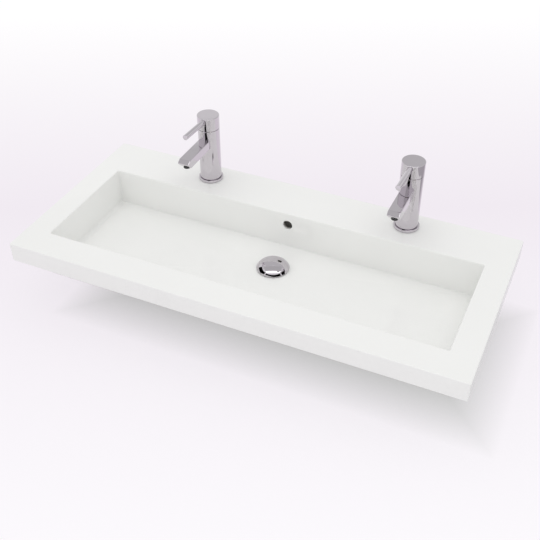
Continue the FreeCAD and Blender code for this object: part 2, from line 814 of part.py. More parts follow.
def make_cartridge(piece, side, spot):
    """The ceramic-disc cartridge and the nut that holds it down."""
    levels = cartridge_levels()
    seat = levels["seat"]
    housing_under = levels["housing_under"]
    fixed_under = levels["fixed_under"]
    disc_under = levels["disc_under"]
    loose_bore = size.housing_bore - 2 * size.seated_clearance

    base = piece("cartridge_base")
    base_radius = size.cartridge_base_diameter / 2
    revolve(base, [
        (0, seat), (base_radius, seat), (base_radius, housing_under),
        (loose_bore / 2, housing_under), (loose_bore / 2, fixed_under), (0, fixed_under),
    ])
    seal_hole = size.port_seal_diameter + 2 * size.seated_clearance
    base_height = size.cartridge_base_flange + size.cartridge_base_spigot
    for across, back in inlet_places():
        bore(base, size.riser_diameter, fixed_under, base_height, across, back)
        bore(base, seal_hole, seat, size.port_seal_thickness, across, back, upward=True)
    outlet_depth = base_height - size.cartridge_outlet_floor
    bore(base, size.riser_diameter, fixed_under, outlet_depth, 0, size.cartridge_outlet_setback)
    window_sill = seat + size.cartridge_outlet_floor + size.cartridge_window_sill
    window_height = window_sill + size.cartridge_window_diameter / 2
    cross_bore(base, size.cartridge_window_diameter, base_radius, base_radius + size.cartridge_outlet_setback,
               window_height)

    seals = []
    for index, (across, back) in enumerate(inlet_places()):
        outer = doc.addObject("Part::Cylinder", f"{side}_seal_blank_{index}")
        bind(outer, "Radius", size.port_seal_diameter / 2)
        inner = doc.addObject("Part::Cylinder", f"{side}_seal_hole_{index}")
        bind(inner, "Radius", size.riser_diameter / 2)
        for cylinder in (outer, inner):
            bind(cylinder, "Height", size.port_seal_thickness)
            place(cylinder, across, back, seat)
        ring = doc.addObject("Part::Cut", f"{side}_seal_ring_{index}")
        ring.Base = outer
        ring.Tool = inner
        seals.append(ring)
    group = doc.addObject("Part::Compound", f"{side}_tap_port_seals")
    group.Label = f"{side}_tap_port_seals"
    group.Links = seals
    place(group, *spot)
    pieces.append(group)

    fixed = piece("fixed_disc")
    revolve(fixed, disc_profile(loose_bore, fixed_under, disc_under))
    ports = inlet_places() + [(0, size.cartridge_outlet_setback)]
    for across, back in ports:
        bore(fixed, size.riser_diameter, disc_under, size.fixed_disc_thickness, across, back)

    moving = piece("moving_disc")
    driver_under = levels["driver_under"]
    disc = new_sketch(moving, "XY_Plane", disc_under)
    draw_circle(disc, size.moving_disc_diameter, 0, size.moving_disc_travel / 2)
    extrude("Pad", moving, disc, size.moving_disc_thickness)
    half_slot_x = size.stem_slot_width / 2 - size.sliding_clearance + size.moving_gap
    half_slot_y = size.stem_tail_thickness / 2 + size.driver_play
    half_driver_x = half_slot_x + size.driver_wall
    half_driver_y = half_slot_y + size.driver_wall
    driver = new_sketch(moving, "XY_Plane", driver_under)
    draw_rectangle(driver, -half_driver_x, half_driver_x,
                   size.pivot_setback - half_driver_y, size.pivot_setback + half_driver_y)
    draw_rectangle(driver, -half_slot_x, half_slot_x,
                   size.pivot_setback - half_slot_y, size.pivot_setback + half_slot_y)
    extrude("Pad", moving, driver, size.driver_height)

    roof = levels["housing_roof"]
    nut_under = levels["nut_under"]
    spindle_hole_radius = size.spindle_diameter / 2 + size.running_clearance
    housing_radius = size.housing_diameter / 2
    flange_radius = size.housing_flange_diameter / 2
    revolve(piece("cartridge_housing"), [
        (size.housing_bore / 2, housing_under), (housing_radius, housing_under), (housing_radius, roof),
        (flange_radius, roof), (flange_radius, nut_under), (spindle_hole_radius, nut_under),
        (spindle_hole_radius, roof), (size.housing_bore / 2, roof),
    ])
    revolve(piece("cartridge_nut"), ring_profile(
        size.cartridge_nut_bore, size.cartridge_nut_diameter, nut_under, levels["nut_top"]))


def make_spindle(piece):
    """The spindle in the cartridge's roof, the pivot pin across it, and the lever stem on the pin."""
    levels = cartridge_levels()
    pivot = levels["pivot"]
    spindle_under = levels["spindle_under"]
    flange_top = levels["spindle_flange_top"]
    ear_top = pivot + size.spindle_ear_rise
    slot_floor = size.body_height - size.spindle_slot_drop
    half_slot = size.stem_slot_width / 2
    half_stem = half_slot - size.sliding_clearance
    half_tail = size.stem_tail_thickness / 2
    spindle = piece("spindle")
    revolve(spindle, [
        (0, spindle_under), (size.spindle_flange_diameter / 2, spindle_under),
        (size.spindle_flange_diameter / 2, flange_top), (size.spindle_diameter / 2, flange_top),
        (size.spindle_diameter / 2, ear_top), (0, ear_top),
    ])
    slot = new_sketch(spindle, "XY_Plane", ear_top)
    draw_rectangle(slot, -half_slot, half_slot, -size.spindle_diameter, size.spindle_diameter)
    extrude("Pocket", spindle, slot, ear_top - slot_floor)
    window = new_sketch(spindle, "XY_Plane", slot_floor)
    window_front = size.pivot_setback - half_tail - size.moving_disc_travel - size.stem_tail_play
    window_back = size.pivot_setback + half_tail + size.stem_tail_play
    draw_rectangle(window, -half_slot, half_slot, window_front, window_back)
    extrude("Pocket", spindle, window, slot_floor - spindle_under)
    pin_hole = new_sketch(spindle, "YZ_Plane")
    draw_circle(pin_hole, size.pivot_diameter + 2 * size.seated_clearance, size.pivot_setback, pivot)
    extrude("Pocket", spindle, pin_hole, 2 * size.spindle_diameter, both_ways=True)

    pin = piece("pivot_pin")
    pin_sketch = new_sketch(pin, "YZ_Plane")
    draw_circle(pin_sketch, size.pivot_diameter, size.pivot_setback, pivot)
    extrude("Pad", pin, pin_sketch, size.pivot_length, both_ways=True)

    stem = piece("lever_stem")
    cap_under = size.body_height + size.seam_gap
    skirt_roof = cap_under + size.cap_skirt_depth
    shoulder = skirt_roof - size.stem_shoulder_drop
    blade = new_sketch(stem, "YZ_Plane")
    eye_under = pivot - size.stem_eye_drop
    tail_under = levels["driver_under"] + size.stem_tail_lift
    tail_front = size.pivot_setback - half_tail
    tail_back = size.pivot_setback + half_tail
    draw_polygon(blade, [
        (tail_front, tail_under), (tail_back, tail_under), (tail_back, eye_under),
        (size.stem_rear, eye_under), (size.stem_rear, shoulder), (-size.stem_front, shoulder),
        (-size.stem_front, eye_under), (tail_front, eye_under),
    ])
    extrude("Pad", stem, blade, 2 * half_stem, both_ways=True)
    half_square = size.stem_square / 2 - size.seated_clearance
    square = new_sketch(stem, "XY_Plane", shoulder)
    draw_rectangle(square, -half_square, half_square, -half_square, half_square)
    extrude("Pad", stem, square, size.stem_shoulder_drop + size.stem_square_length - size.sliding_clearance)
    eye = new_sketch(stem, "YZ_Plane")
    draw_circle(eye, size.pivot_diameter + 2 * size.running_clearance, size.pivot_setback, pivot)
    extrude("Pocket", stem, eye, 2 * size.stem_slot_width, both_ways=True)


def make_handle(piece, spot):
    """The handle: cap, pin lever, grub screw and the index plug over the screw's hole."""
    levels = cartridge_levels()
    pivot = levels["pivot"]
    cap_under = size.body_height + size.seam_gap
    cap_top = cap_under + size.cap_height
    skirt_roof = cap_under + size.cap_skirt_depth
    radius = size.cap_diameter / 2
    skirt_bore = radius - size.cap_skirt_wall
    cap = piece("handle_cap")
    revolve(cap, [
        (skirt_bore, cap_under), (radius, cap_under), (radius, cap_top), (0, cap_top),
        (0, skirt_roof), (skirt_bore, skirt_roof),
    ])
    round_edges(cap, size.cap_edge_radius, lambda edge: is_circle(edge, size.cap_diameter, cap_top))
    socket = new_sketch(cap, "XY_Plane", skirt_roof)
    half_square = size.stem_square / 2
    draw_rectangle(socket, -half_square, half_square, -half_square, half_square)
    extrude("Pocket", cap, socket, size.stem_square_length, reverse=True)
    relief = new_sketch(cap, "YZ_Plane")
    relief_back = radius + size.cut_margin
    relief_low = cap_under - size.cut_margin
    relief_slope = trigonometric("tan", size.handle_lift + size.relief_margin)
    relief_rise = (relief_back - size.pivot_setback) * relief_slope
    draw_polygon(relief, [
        (size.pivot_setback, relief_low), (relief_back, relief_low), (relief_back, pivot + relief_rise),
        (size.pivot_setback, pivot),
    ])
    extrude("Pocket", cap, relief, 2 * size.cap_diameter, both_ways=True)
    screw_start = -(radius + size.cut_margin)
    screw_height = cap_under + size.grub_screw_seat_height
    cross_bore(cap, size.grub_screw_diameter + 2 * size.seated_clearance, screw_start,
               radius + size.cut_margin - half_square + size.cut_margin, screw_height, forward=True)
    tenon_end = size.lever_seat_reach - size.lever_tenon_length
    lever_height = cap_under + size.lever_seat_height
    lever_hole(cap, size.lever_tenon_diameter, tenon_end, lever_height)
    lever_hole(cap, size.lever_diameter, size.lever_seat_reach, lever_height)

    lever = piece("lever")
    tenon_radius = size.lever_tenon_diameter / 2
    lever_radius = size.lever_diameter / 2
    revolve(lever, [
        (0, tenon_end), (tenon_radius, tenon_end), (tenon_radius, size.lever_seat_reach),
        (lever_radius, size.lever_seat_reach), (lever_radius, size.lever_reach), (0, size.lever_reach),
    ])
    round_edges(lever, size.lever_edge_radius,
                lambda edge: is_circle(edge, size.lever_diameter, size.lever_reach))
    lever.Placement = FreeCAD.Placement(FreeCAD.Vector(), FreeCAD.Rotation(ACROSS, QUARTER_TURN))
    place(lever, spot[0], spot[1], spot[2] + lever_height)
    bind(lever, "Placement.Rotation.Angle", QUARTER_TURN - size.lever_rise)

    grub = piece("grub_screw")
    grub_sketch = new_sketch(grub, "XZ_Plane", -(half_square + size.grub_screw_length))
    draw_circle(grub_sketch, size.grub_screw_diameter, 0, screw_height)
    extrude("Pad", grub, grub_sketch, size.grub_screw_length)
    key = new_sketch(grub, "XZ_Plane", -(half_square + size.grub_screw_length))
    half_key = size.grub_socket_width / 2
    key_under = screw_height - half_key
    draw_rectangle(key, -half_key, half_key, key_under, key_under + size.grub_socket_width)
    extrude("Pocket", grub, key, size.grub_socket_depth, reverse=True)

    plug = piece("index_plug")
    plug_sketch = new_sketch(plug, "XZ_Plane", size.index_plug_sink - radius)
    draw_circle(plug_sketch, size.grub_screw_diameter, 0, screw_height)
    extrude("Pad", plug, plug_sketch, size.index_plug_length)


def lever_hole(cap, diameter, bottom, height):
    """A hole along the lever's axis, from that distance outwards; it leaves the tap's axis at this height."""
    sketch = new_sketch(cap, "XZ_Plane")
    tilt = FreeCAD.Rotation(-ACROSS, size.lever_rise.number)
    sketch.AttachmentOffset = FreeCAD.Placement(FreeCAD.Vector(), tilt)
    bind(sketch, "AttachmentOffset.Rotation.Angle", size.lever_rise)
    rise = bottom * trigonometric("sin", size.lever_rise)
    bind(sketch, "AttachmentOffset.Base.y", height + rise)
    bind(sketch, "AttachmentOffset.Base.z", bottom * trigonometric("cos", size.lever_rise))
    draw_circle(sketch, diameter + 2 * size.seated_clearance)
    extrude("Pocket", cap, sketch, size.cap_diameter, reverse=True)


def make_deck_fixing(piece):
    """What clamps the tap from below: stud, horseshoe gasket, horseshoe plate and nut."""
    deck_under = -size.deck_thickness
    gasket_under = deck_under - size.gasket_thickness
    plate_under = gasket_under - size.plate_thickness
    nut_under = plate_under - size.mounting_nut_height
    stud_top = size.base_seal_thickness + size.stud_depth
    stud = piece("mounting_stud")
    shank = new_sketch(stud, "XY_Plane", -size.stud_drop)
    draw_circle(shank, size.stud_diameter, 0, size.stud_setback)
    extrude("Pad", stud, shank, size.stud_drop + stud_top)

    stud_hole = size.stud_diameter + 2 * size.seated_clearance
    half_slot = size.horseshoe_slot_width / 2
    for name, under, thickness in (("horseshoe_gasket", gasket_under, size.gasket_thickness),
                                   ("horseshoe_plate", plate_under, size.plate_thickness)):
        horseshoe = piece(name)
        outline = new_sketch(horseshoe, "XY_Plane", under)
        draw_circle(outline, size.horseshoe_diameter)
        extrude("Pad", horseshoe, outline, thickness)
        slot = new_sketch(horseshoe, "XY_Plane", under)
        draw_rectangle(slot, -half_slot, half_slot, -size.horseshoe_diameter, size.horseshoe_slot_end)
        extrude("Pocket", horseshoe, slot, thickness, reverse=True)
        bore(horseshoe, stud_hole, under, thickness, 0, size.stud_setback, upward=True)

    nut = piece("mounting_nut")
    nut_sketch = new_sketch(nut, "XY_Plane", nut_under)
    draw_hexagon(nut_sketch, size.mounting_nut_flats)
    draw_circle(nut_sketch, stud_hole)
    extrude("Pad", nut, nut_sketch, size.mounting_nut_height)
    bind(nut, "Placement.Base.y", tap_y + size.stud_setback)


def check_pieces():
    """Stop if a feature failed, a piece isn't a sound solid, or a cut removed nothing."""
    recompute()
    for item in doc.Objects:
        if item.TypeId == "PartDesign::Pocket" and item.BaseFeature:
            if item.Shape.Volume > item.BaseFeature.Shape.Volume - LEAST_CUT_VOLUME:
                raise RuntimeError(f"{item.Label}: the cut removed nothing")
    for item in pieces:
        if item.Shape.isNull() or not item.Shape.isValid() or not item.Shape.Solids:
            raise RuntimeError(f"{item.Label}: no sound solid")


def main():
    make_basin()
    make_waste()
    for side, tap_x in tap_places().items():
        make_tap(side, tap_x)
    check_pieces()
    os.makedirs("parts", exist_ok=True)
    for item in pieces:
        item.Shape.exportStep(f"parts/{item.Label}.step")
        print(item.Label, len(item.Shape.Solids), round(item.Shape.Volume, 1))


main()
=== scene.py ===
"""A vanity basin with two single-lever taps and a press-down waste, dressed around its packed frame."""

import json
from math import atan2, cos, pi, radians, sin, sqrt, tan

import bmesh
import bpy
from bpy.props import FloatProperty, FloatVectorProperty, IntProperty, PointerProperty
from mathutils import Matrix, Vector


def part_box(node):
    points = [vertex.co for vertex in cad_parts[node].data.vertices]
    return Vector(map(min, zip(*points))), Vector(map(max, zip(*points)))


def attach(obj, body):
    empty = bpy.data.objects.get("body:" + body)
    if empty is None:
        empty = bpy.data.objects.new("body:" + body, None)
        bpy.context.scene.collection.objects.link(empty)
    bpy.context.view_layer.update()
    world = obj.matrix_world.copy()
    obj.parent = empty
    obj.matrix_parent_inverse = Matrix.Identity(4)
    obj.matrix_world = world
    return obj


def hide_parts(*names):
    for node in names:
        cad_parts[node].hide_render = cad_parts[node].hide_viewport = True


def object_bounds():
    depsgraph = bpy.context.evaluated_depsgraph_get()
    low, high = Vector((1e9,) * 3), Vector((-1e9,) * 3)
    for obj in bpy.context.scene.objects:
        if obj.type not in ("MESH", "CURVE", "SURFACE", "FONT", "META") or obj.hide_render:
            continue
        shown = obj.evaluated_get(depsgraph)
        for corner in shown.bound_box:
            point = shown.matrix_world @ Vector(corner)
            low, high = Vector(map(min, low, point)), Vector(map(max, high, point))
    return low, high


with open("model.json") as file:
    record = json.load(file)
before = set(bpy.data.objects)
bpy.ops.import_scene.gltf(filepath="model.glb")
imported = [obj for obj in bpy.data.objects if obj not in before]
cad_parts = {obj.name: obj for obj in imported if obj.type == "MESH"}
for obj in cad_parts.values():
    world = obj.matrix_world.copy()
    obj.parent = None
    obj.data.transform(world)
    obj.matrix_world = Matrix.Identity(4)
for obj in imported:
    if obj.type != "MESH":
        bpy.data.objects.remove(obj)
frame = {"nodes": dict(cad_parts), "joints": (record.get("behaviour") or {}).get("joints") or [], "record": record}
cad_box = [list(corner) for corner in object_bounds()]

bl_info = {
    "name": "Vanity Basin with Two Taps",
    "version": (1, 0, 0),
    "blender": (4, 5, 0),
    "location": "3D View > Sidebar > Basin",
    "description": "Builds the casting, the waste, the taps and their finishes around the packed frame",
    "category": "Object",
}

SIDES = ("left", "right")
UP = Vector((0, 0, 1))
FORWARD = Vector((0, -1, 0))
BACKWARD = -FORWARD
TINY = 1e-6
MERGE_DISTANCE = 1e-6
SHARP_ANGLE = radians(32)

# Finishes by the record's slots, and how their grain is made.
SLOT_FINISHES = {
    "glazed_white": "White glaze",
    "chrome": "Polished chrome",
    "brass": "Turned brass",
    "steel": "Zinc plated steel",
    "rubber": "Black rubber",
    "cartridge_plastic": "Moulded cartridge plastic",
    "aerator_plastic": "Dark aerator plastic",
    "disc_ceramic": "Lapped disc ceramic",
}
RAW_FINISH = "Unglazed underside"
FLOOR_FINISH = "Stage floor"
COARSE_DETAIL = 3.0
FINE_DETAIL = 2.0
FINE_SCALE = 6
BUMP_STRENGTH = 0.4

# Steps of round shapes.
TURN_STEPS = 128
STUD_STEPS = 48
STUD_THREAD_STEPS = 32
TAIL_THREAD_STEPS = 72
ARC_STEPS = 6
CORNER_STEPS = 6
LONG_SIDE_STEPS = 24
SHORT_SIDE_STEPS = 10
MIDDLE_SWING = 1.1
EDGE_STEPS = 3
SPOUT_EDGE_STEPS = 5
FIXING_EDGE_STEPS = 2
CARD_STEPS = 12

# How far a cutting tool stands past what it cuts.
CUT_MARGIN = 0.004
SMALL_MARGIN = 0.001
BORE_MARGIN = 0.002
WIDE_MARGIN = 0.01
HOLE_REACH = 0.06
SLOT_OPEN = 0.05
PUNCH_DEPTH = 0.02

# Room between pieces, and broken edges.
FIT_GAP = 0.00005
SLIP_GAP = 0.0001
BUTTON_GAP = 0.00015
LEVER_GAP = 0.0002
RECESS_GAP = 0.0003
FINE_EDGE = 0.0003
SMALL_EDGE = 0.0004

# The casting.
OUTER_CORNER = 0.003
FOOT_EDGE = 0.001
UNDERSIDE_RADIUS = 0.006
HOUSING_EDGE = 0.004
FLAT_RADIUS = 0.046
FALL_SHARES = (0.2, 0.4, 0.6, 0.8)
SHAFT_HEADROOM = 0.002
TAP_HOLE_DEPTH = 0.03

# The waste. Each arc of the dome has the tilt at its end, in degrees, and its radius.
DOME_ARCS = ((13, 0.086), (28, 0.0284), (59, 0.027), (90, 0.0008))
SEAL_BAND = 0.0041
TAIL_BORE_EDGE = 0.0005
TAIL_EDGE = 0.0006
FLANGE_EDGE = 0.001
SLOT_RISE = 0.022
SLOT_HEIGHT = 0.012
SLOT_HALF = 0.007
SLOT_REACH = 0.04
BRIDGE_HALF = 0.006
BRIDGE_HEIGHT = 0.006
CARTRIDGE_HOLE = 0.00405
THREAD_LEAD = 1.5
THREAD_RUNOUT = 0.0015
LOCKING_NUT_CORNER = 0.0046
LOCKING_NUT_CHAMFER = 0.0022
LOCKING_NUT_EDGE = 0.0005
WASTE_RINGS = (
    ("waste_lower_seal", "waste_sealing_ring", "rubber", 0.0012),
    ("waste_thrust_washer", "waste_slip_washer", "steel", 0.0004),
)

# The taps.
SHOULDER = 0.002
CHAMBER_RADIUS = 0.0165
INLET_SPOTS = ((-0.007, -0.004), (0.007, -0.004))
INLET_RADIUS = 0.005
INLET_DEPTH = 0.014
STUD_HOLE_RADIUS = 0.00405
STUD_HOLE_DEPTH = 0.012
SPOUT_ROOT = 0.015
SCREEN_LIP = 0.0008
SCREEN_RIM = 0.0011
RIB_STAND = 0.0003
RIB_SIZE = (0.0005, 0.0007, 0.0015)
STEM_HALF = 0.0045
STEM_DEPTH = 0.012
BUTTON_FOOT_EDGE = 0.0002
BUTTON_CROWN = 0.0003
BUTTON_EDGE = 0.0005

# The fixings under the deck.
STUD_POINT = 0.0005
STUD_POINT_HEIGHT = 0.0008
STUD_RUNOUT = 0.0012
CLAMP_NUT_EASE = 0.0002
CLAMP_NUT_CHAMFER = 0.0012
CLAMPS = (("horseshoe_gasket", "clamp_gasket", "rubber"), ("horseshoe_plate", "clamp_plate", "steel"))

# The stage.
SENSOR_WIDTH = 36.0
SIGHT_END = 100.0
FLOOR_ROUGHNESS = 0.9
FLOOR_TURN = radians(-24.5)
FLOOR_RANGE = (-1.0, 1.6)
FLOOR_MIDDLE_STOP = 0.45
# Where the painted shade on the right-hand floor begins and ends, past the part's right side.
RIGHT_SHADE_RANGE = (-0.05, 0.15)
# Width over which the painted shade under the part fades out.
PAINTED_SHADE_FADE = 0.16
WHITE = (1.0, 1.0, 1.0)
SKY_TINT = (1.0, 0.995, 1.0, 1.0)
SKY_FALL_END = 0.8
KEY_SIZE = (3.0, 2.4)
KEY_PLACE = (0.2, -0.2, 2.6)
# Each card has its azimuths and elevations in degrees, and its brightness or the pieces that see it black.
GREY_CARDS = (
    ("rear_high", (130, 240), (32.2, 60), 0.65),
    ("rear_low", (130, 240), (4, 32.2), 0.83),
)
WASTE_CHROME = ("waste_cover",)
TAP_CHROME = tuple(f"{side}_tap_{piece}" for side in SIDES
                   for piece in ("foot_ring", "pillar", "flat_spout", "cover", "pin_lever"))
DARK_CARDS = (
    ("waste_left", (-94, -35), (11, 39), WASTE_CHROME),
    ("waste_front_left", (-27, -20), (11, 39), WASTE_CHROME),
    ("waste_front", (-20, 8), (11, 29.5), WASTE_CHROME),
    ("shared_front", (-20, 8), (29.5, 39), WASTE_CHROME + TAP_CHROME),
    ("tap_front", (-20, 8), (39, 46), TAP_CHROME),
    ("waste_front_right", (8, 73), (11, 39), WASTE_CHROME),
    ("waste_right", (81, 128), (11, 39), WASTE_CHROME),
)


def length(name, description, default):
    """A property that holds a length in metres."""
    return FloatProperty(name=name, description=description, default=default, min=0.0, precision=4,
                         subtype="DISTANCE", unit="LENGTH")


def colour(name, description, default):
    """A property that holds a linear colour."""
    return FloatVectorProperty(name=name, description=description, default=default, min=0.0, max=1.0,
                               size=3, subtype="COLOR")


def angle(name, description, degrees):
    """A property that holds an angle."""
    return FloatProperty(name=name, description=description, default=radians(degrees), subtype="ANGLE",
                         unit="ROTATION")


def portion(name, description, default):
    """A property that holds a share of one."""
    return FloatProperty(name=name, description=description, default=default, min=0.0, max=1.0,
                         subtype="FACTOR")


def strength(name, description, default):
    """A property that holds the strength of a glow."""
    return FloatProperty(name=name, description=description, default=default, min=0.0)


def location(name, description, default):
    """A property that holds a place or a step in space."""
    return FloatVectorProperty(name=name, description=description, default=default, size=3,
                               subtype="TRANSLATION")


class CastingSettings(bpy.types.PropertyGroup):
    """Sizes of the white casting."""
    side_rim: length("Side Rim", "Width of the deck beside the bowl", 0.057)
    front_rim: length("Front Rim", "Width of the deck in front of the bowl", 0.068)
    back_deck: length("Back Deck", "Width of the deck behind the bowl", 0.1165)
    apron_wall: length("Apron Wall", "Thickness of the apron", 0.015)
    deck_thickness: length("Deck Thickness", "Thickness of the deck", 0.015)
    bowl_depth: length("Bowl Depth", "From the deck to the edge of the bowl's floor", 0.087)
    bowl_wall: length("Bowl Wall", "Thickness of the bowl's wall", 0.012)
    floor_thickness: length("Floor Thickness", "Thickness of the floor at the waste", 0.012)
    floor_fall: length("Floor Fall", "Fall of the floor towards the waste", 0.008)
    bowl_draft: angle("Bowl Draft", "Lean of the bowl's walls", 2.0)
    corner_radius: length("Corner Radius", "Radius of the bowl's upright corners", 0.004)
    side_floor_radius: length("Floor Radius", "Radius where the long walls meet the floor", 0.003)
    end_floor_radius: length("End Floor Radius", "Radius where the end walls meet the floor", 0.009)
    edge_radius: length("Edge Radius", "Radius of the deck's edges and the bowl's rim", 0.0025)
    overflow_diameter: length("Overflow Diameter", "Bore of the overflow hole", 0.022)
    overflow_drop: length("Overflow Drop", "From the deck to the middle of the overflow hole", 0.030)
    overflow_lip: length("Overflow Lip", "Radius of the rounded mouth of the overflow hole", 0.0015)
    overflow_wall: length("Overflow Wall", "Thickness of the wall round the overflow hole", 0.004)
    channel_width: length("Channel Width", "Width of the overflow channel", 0.040)
    channel_depth: length("Channel Depth", "Depth of the overflow channel", 0.016)
    channel_wall: length("Channel Wall", "Wall of the overflow channel", 0.008)
    tap_hole: length("Tap Hole", "Bore of the holes under the taps", 0.035)


class WasteSettings(bpy.types.PropertyGroup):
    """Sizes of the waste."""
    hole_diameter: length("Hole Diameter", "Bore of the casting at the waste", 0.046)
    cap_undercut: length("Cap Undercut", "How far the cover's wall draws in below its rim", 0.0015)
    boss_diameter: length("Boss Diameter", "Boss under the floor at the waste", 0.078)
    tube_wall: length("Tube Wall", "Wall of the threaded body", 0.004)
    tail_diameter: length("Tail Diameter", "Diameter over the thread", 0.04191)
    thread_pitch: length("Thread Pitch", "Rise of the tail's thread in one turn", 0.002309)
    thread_height: length("Thread Height", "Height of the tail's thread", 0.0008)
    nut_flats: length("Nut Flats", "Width of the locking nut across its flats", 0.056)


class TapSettings(bpy.types.PropertyGroup):
    """Sizes of the taps."""
    neck_diameter: length("Neck Diameter", "Neck of the body inside the foot ring", 0.046)
    neck_gap: length("Neck Gap", "Slit between the foot ring and the body", 0.0012)
    body_edge: length("Body Edge", "Radius of the body's edges", 0.0006)
    skirt_edge: length("Skirt Edge", "Radius of the handle cover's lower edge", 0.0004)
    ring_edge: length("Ring Edge", "Radius of the foot ring's upper edge", 0.0011)
    spout_brow: length("Spout Brow", "From the tap's axis to the top edge of the nose", 0.115)
    spout_nose_drop: length("Nose Drop", "Height of the sloping facet at the nose", 0.007)
    spout_lip: length("Spout Lip", "From the tap's axis to the nose's lower edge", 0.122)
    spout_chin: length("Spout Chin", "From the tap's axis to the end of the flat underside", 0.1115)
    spout_chin_rise: length("Chin Rise", "From the flat underside to the nose's lower edge", 0.0102)
    spout_edge: length("Spout Edge", "Radius of the spout's edges", 0.0015)
    cap_edge: length("Cover Edge", "Radius of the handle cover's upper edge", 0.0015)
    skirt_wall: length("Skirt Wall", "Wall of the handle cover's skirt", 0.00325)
    skirt_depth: length("Skirt Depth", "Depth of the handle cover's skirt", 0.0108)
    lever_diameter: length("Lever Diameter", "Diameter of the lever", 0.012)
    lever_reach: length("Lever Reach", "From the tap's axis to the lever's tip", 0.107)
    lever_seat: length("Lever Seat", "From the tap's axis to the lever's seat", 0.023)
    lever_height: length("Lever Height", "From the cover's underside to the lever's axis", 0.022)
    lever_rise: angle("Lever Rise", "Slope of the closed lever", 3.0)
    lever_edge: length("Lever Edge", "Radius of the lever's tip", 0.0012)
    tenon_diameter: length("Tenon Diameter", "Diameter of the lever's tenon", 0.006)
    tenon_length: length("Tenon Length", "Length of the lever's tenon", 0.010)
    lift: angle("Handle Lift", "How far the handle tilts up", 20.0)
    lift_margin: angle("Lift Margin", "Room left beyond the handle's lift", 1.0)
    screen_hole: length("Screen Hole", "Width of one hole in the stream screen", 0.0013)
    screen_pitch: length("Screen Pitch", "Spacing of the holes in the stream screen", 0.0017)
    grip_count: IntProperty(name="Grip Count", description="Ribs round the stream ring", default=36, min=3)


class FixingSettings(bpy.types.PropertyGroup):
    """Sizes of the fixings under the deck."""
    slot_width: length("Slot Width", "Width of the horseshoe's slot", 0.026)
    slot_end: length("Slot End", "From the tap's axis to the end of the slot", 0.0035)
    stud_setback: length("Stud Setback", "From the tap's axis to the stud", 0.010)
    stud_diameter: length("Stud Diameter", "Diameter over the stud's thread", 0.008)
    stud_pitch: length("Stud Pitch", "Rise of the stud's thread in one turn", 0.00125)
    stud_thread_height: length("Stud Thread Height", "Height of the stud's thread", 0.0005)
    nut_flats: length("Nut Flats", "Width of the nut across its flats", 0.013)
    edge: length("Edge", "Broken edge of plates, gaskets and nuts", 0.0004)


class FinishSettings(bpy.types.PropertyGroup):
    """Colours of the finishes."""
    glaze: colour("Glaze", "White of the casting", (0.95, 0.955, 0.936))
    raw: colour("Unglazed", "Unglazed underside of the casting", (0.62, 0.605, 0.57))
    chrome: colour("Chrome", "Reflection of the chrome", (0.64, 0.606, 0.643))
    brass: colour("Brass", "Turned brass", (0.62, 0.43, 0.17))
    steel: colour("Steel", "Zinc plated steel", (0.52, 0.53, 0.55))
    rubber: colour("Rubber", "Black rubber", (0.018, 0.018, 0.019))
    cartridge: colour("Cartridge", "Moulded cartridge plastic", (0.55, 0.56, 0.57))
    aerator: colour("Aerator", "Dark aerator plastic", (0.03, 0.03, 0.033))
    disc: colour("Disc", "Lapped ceramic discs", (0.78, 0.76, 0.72))


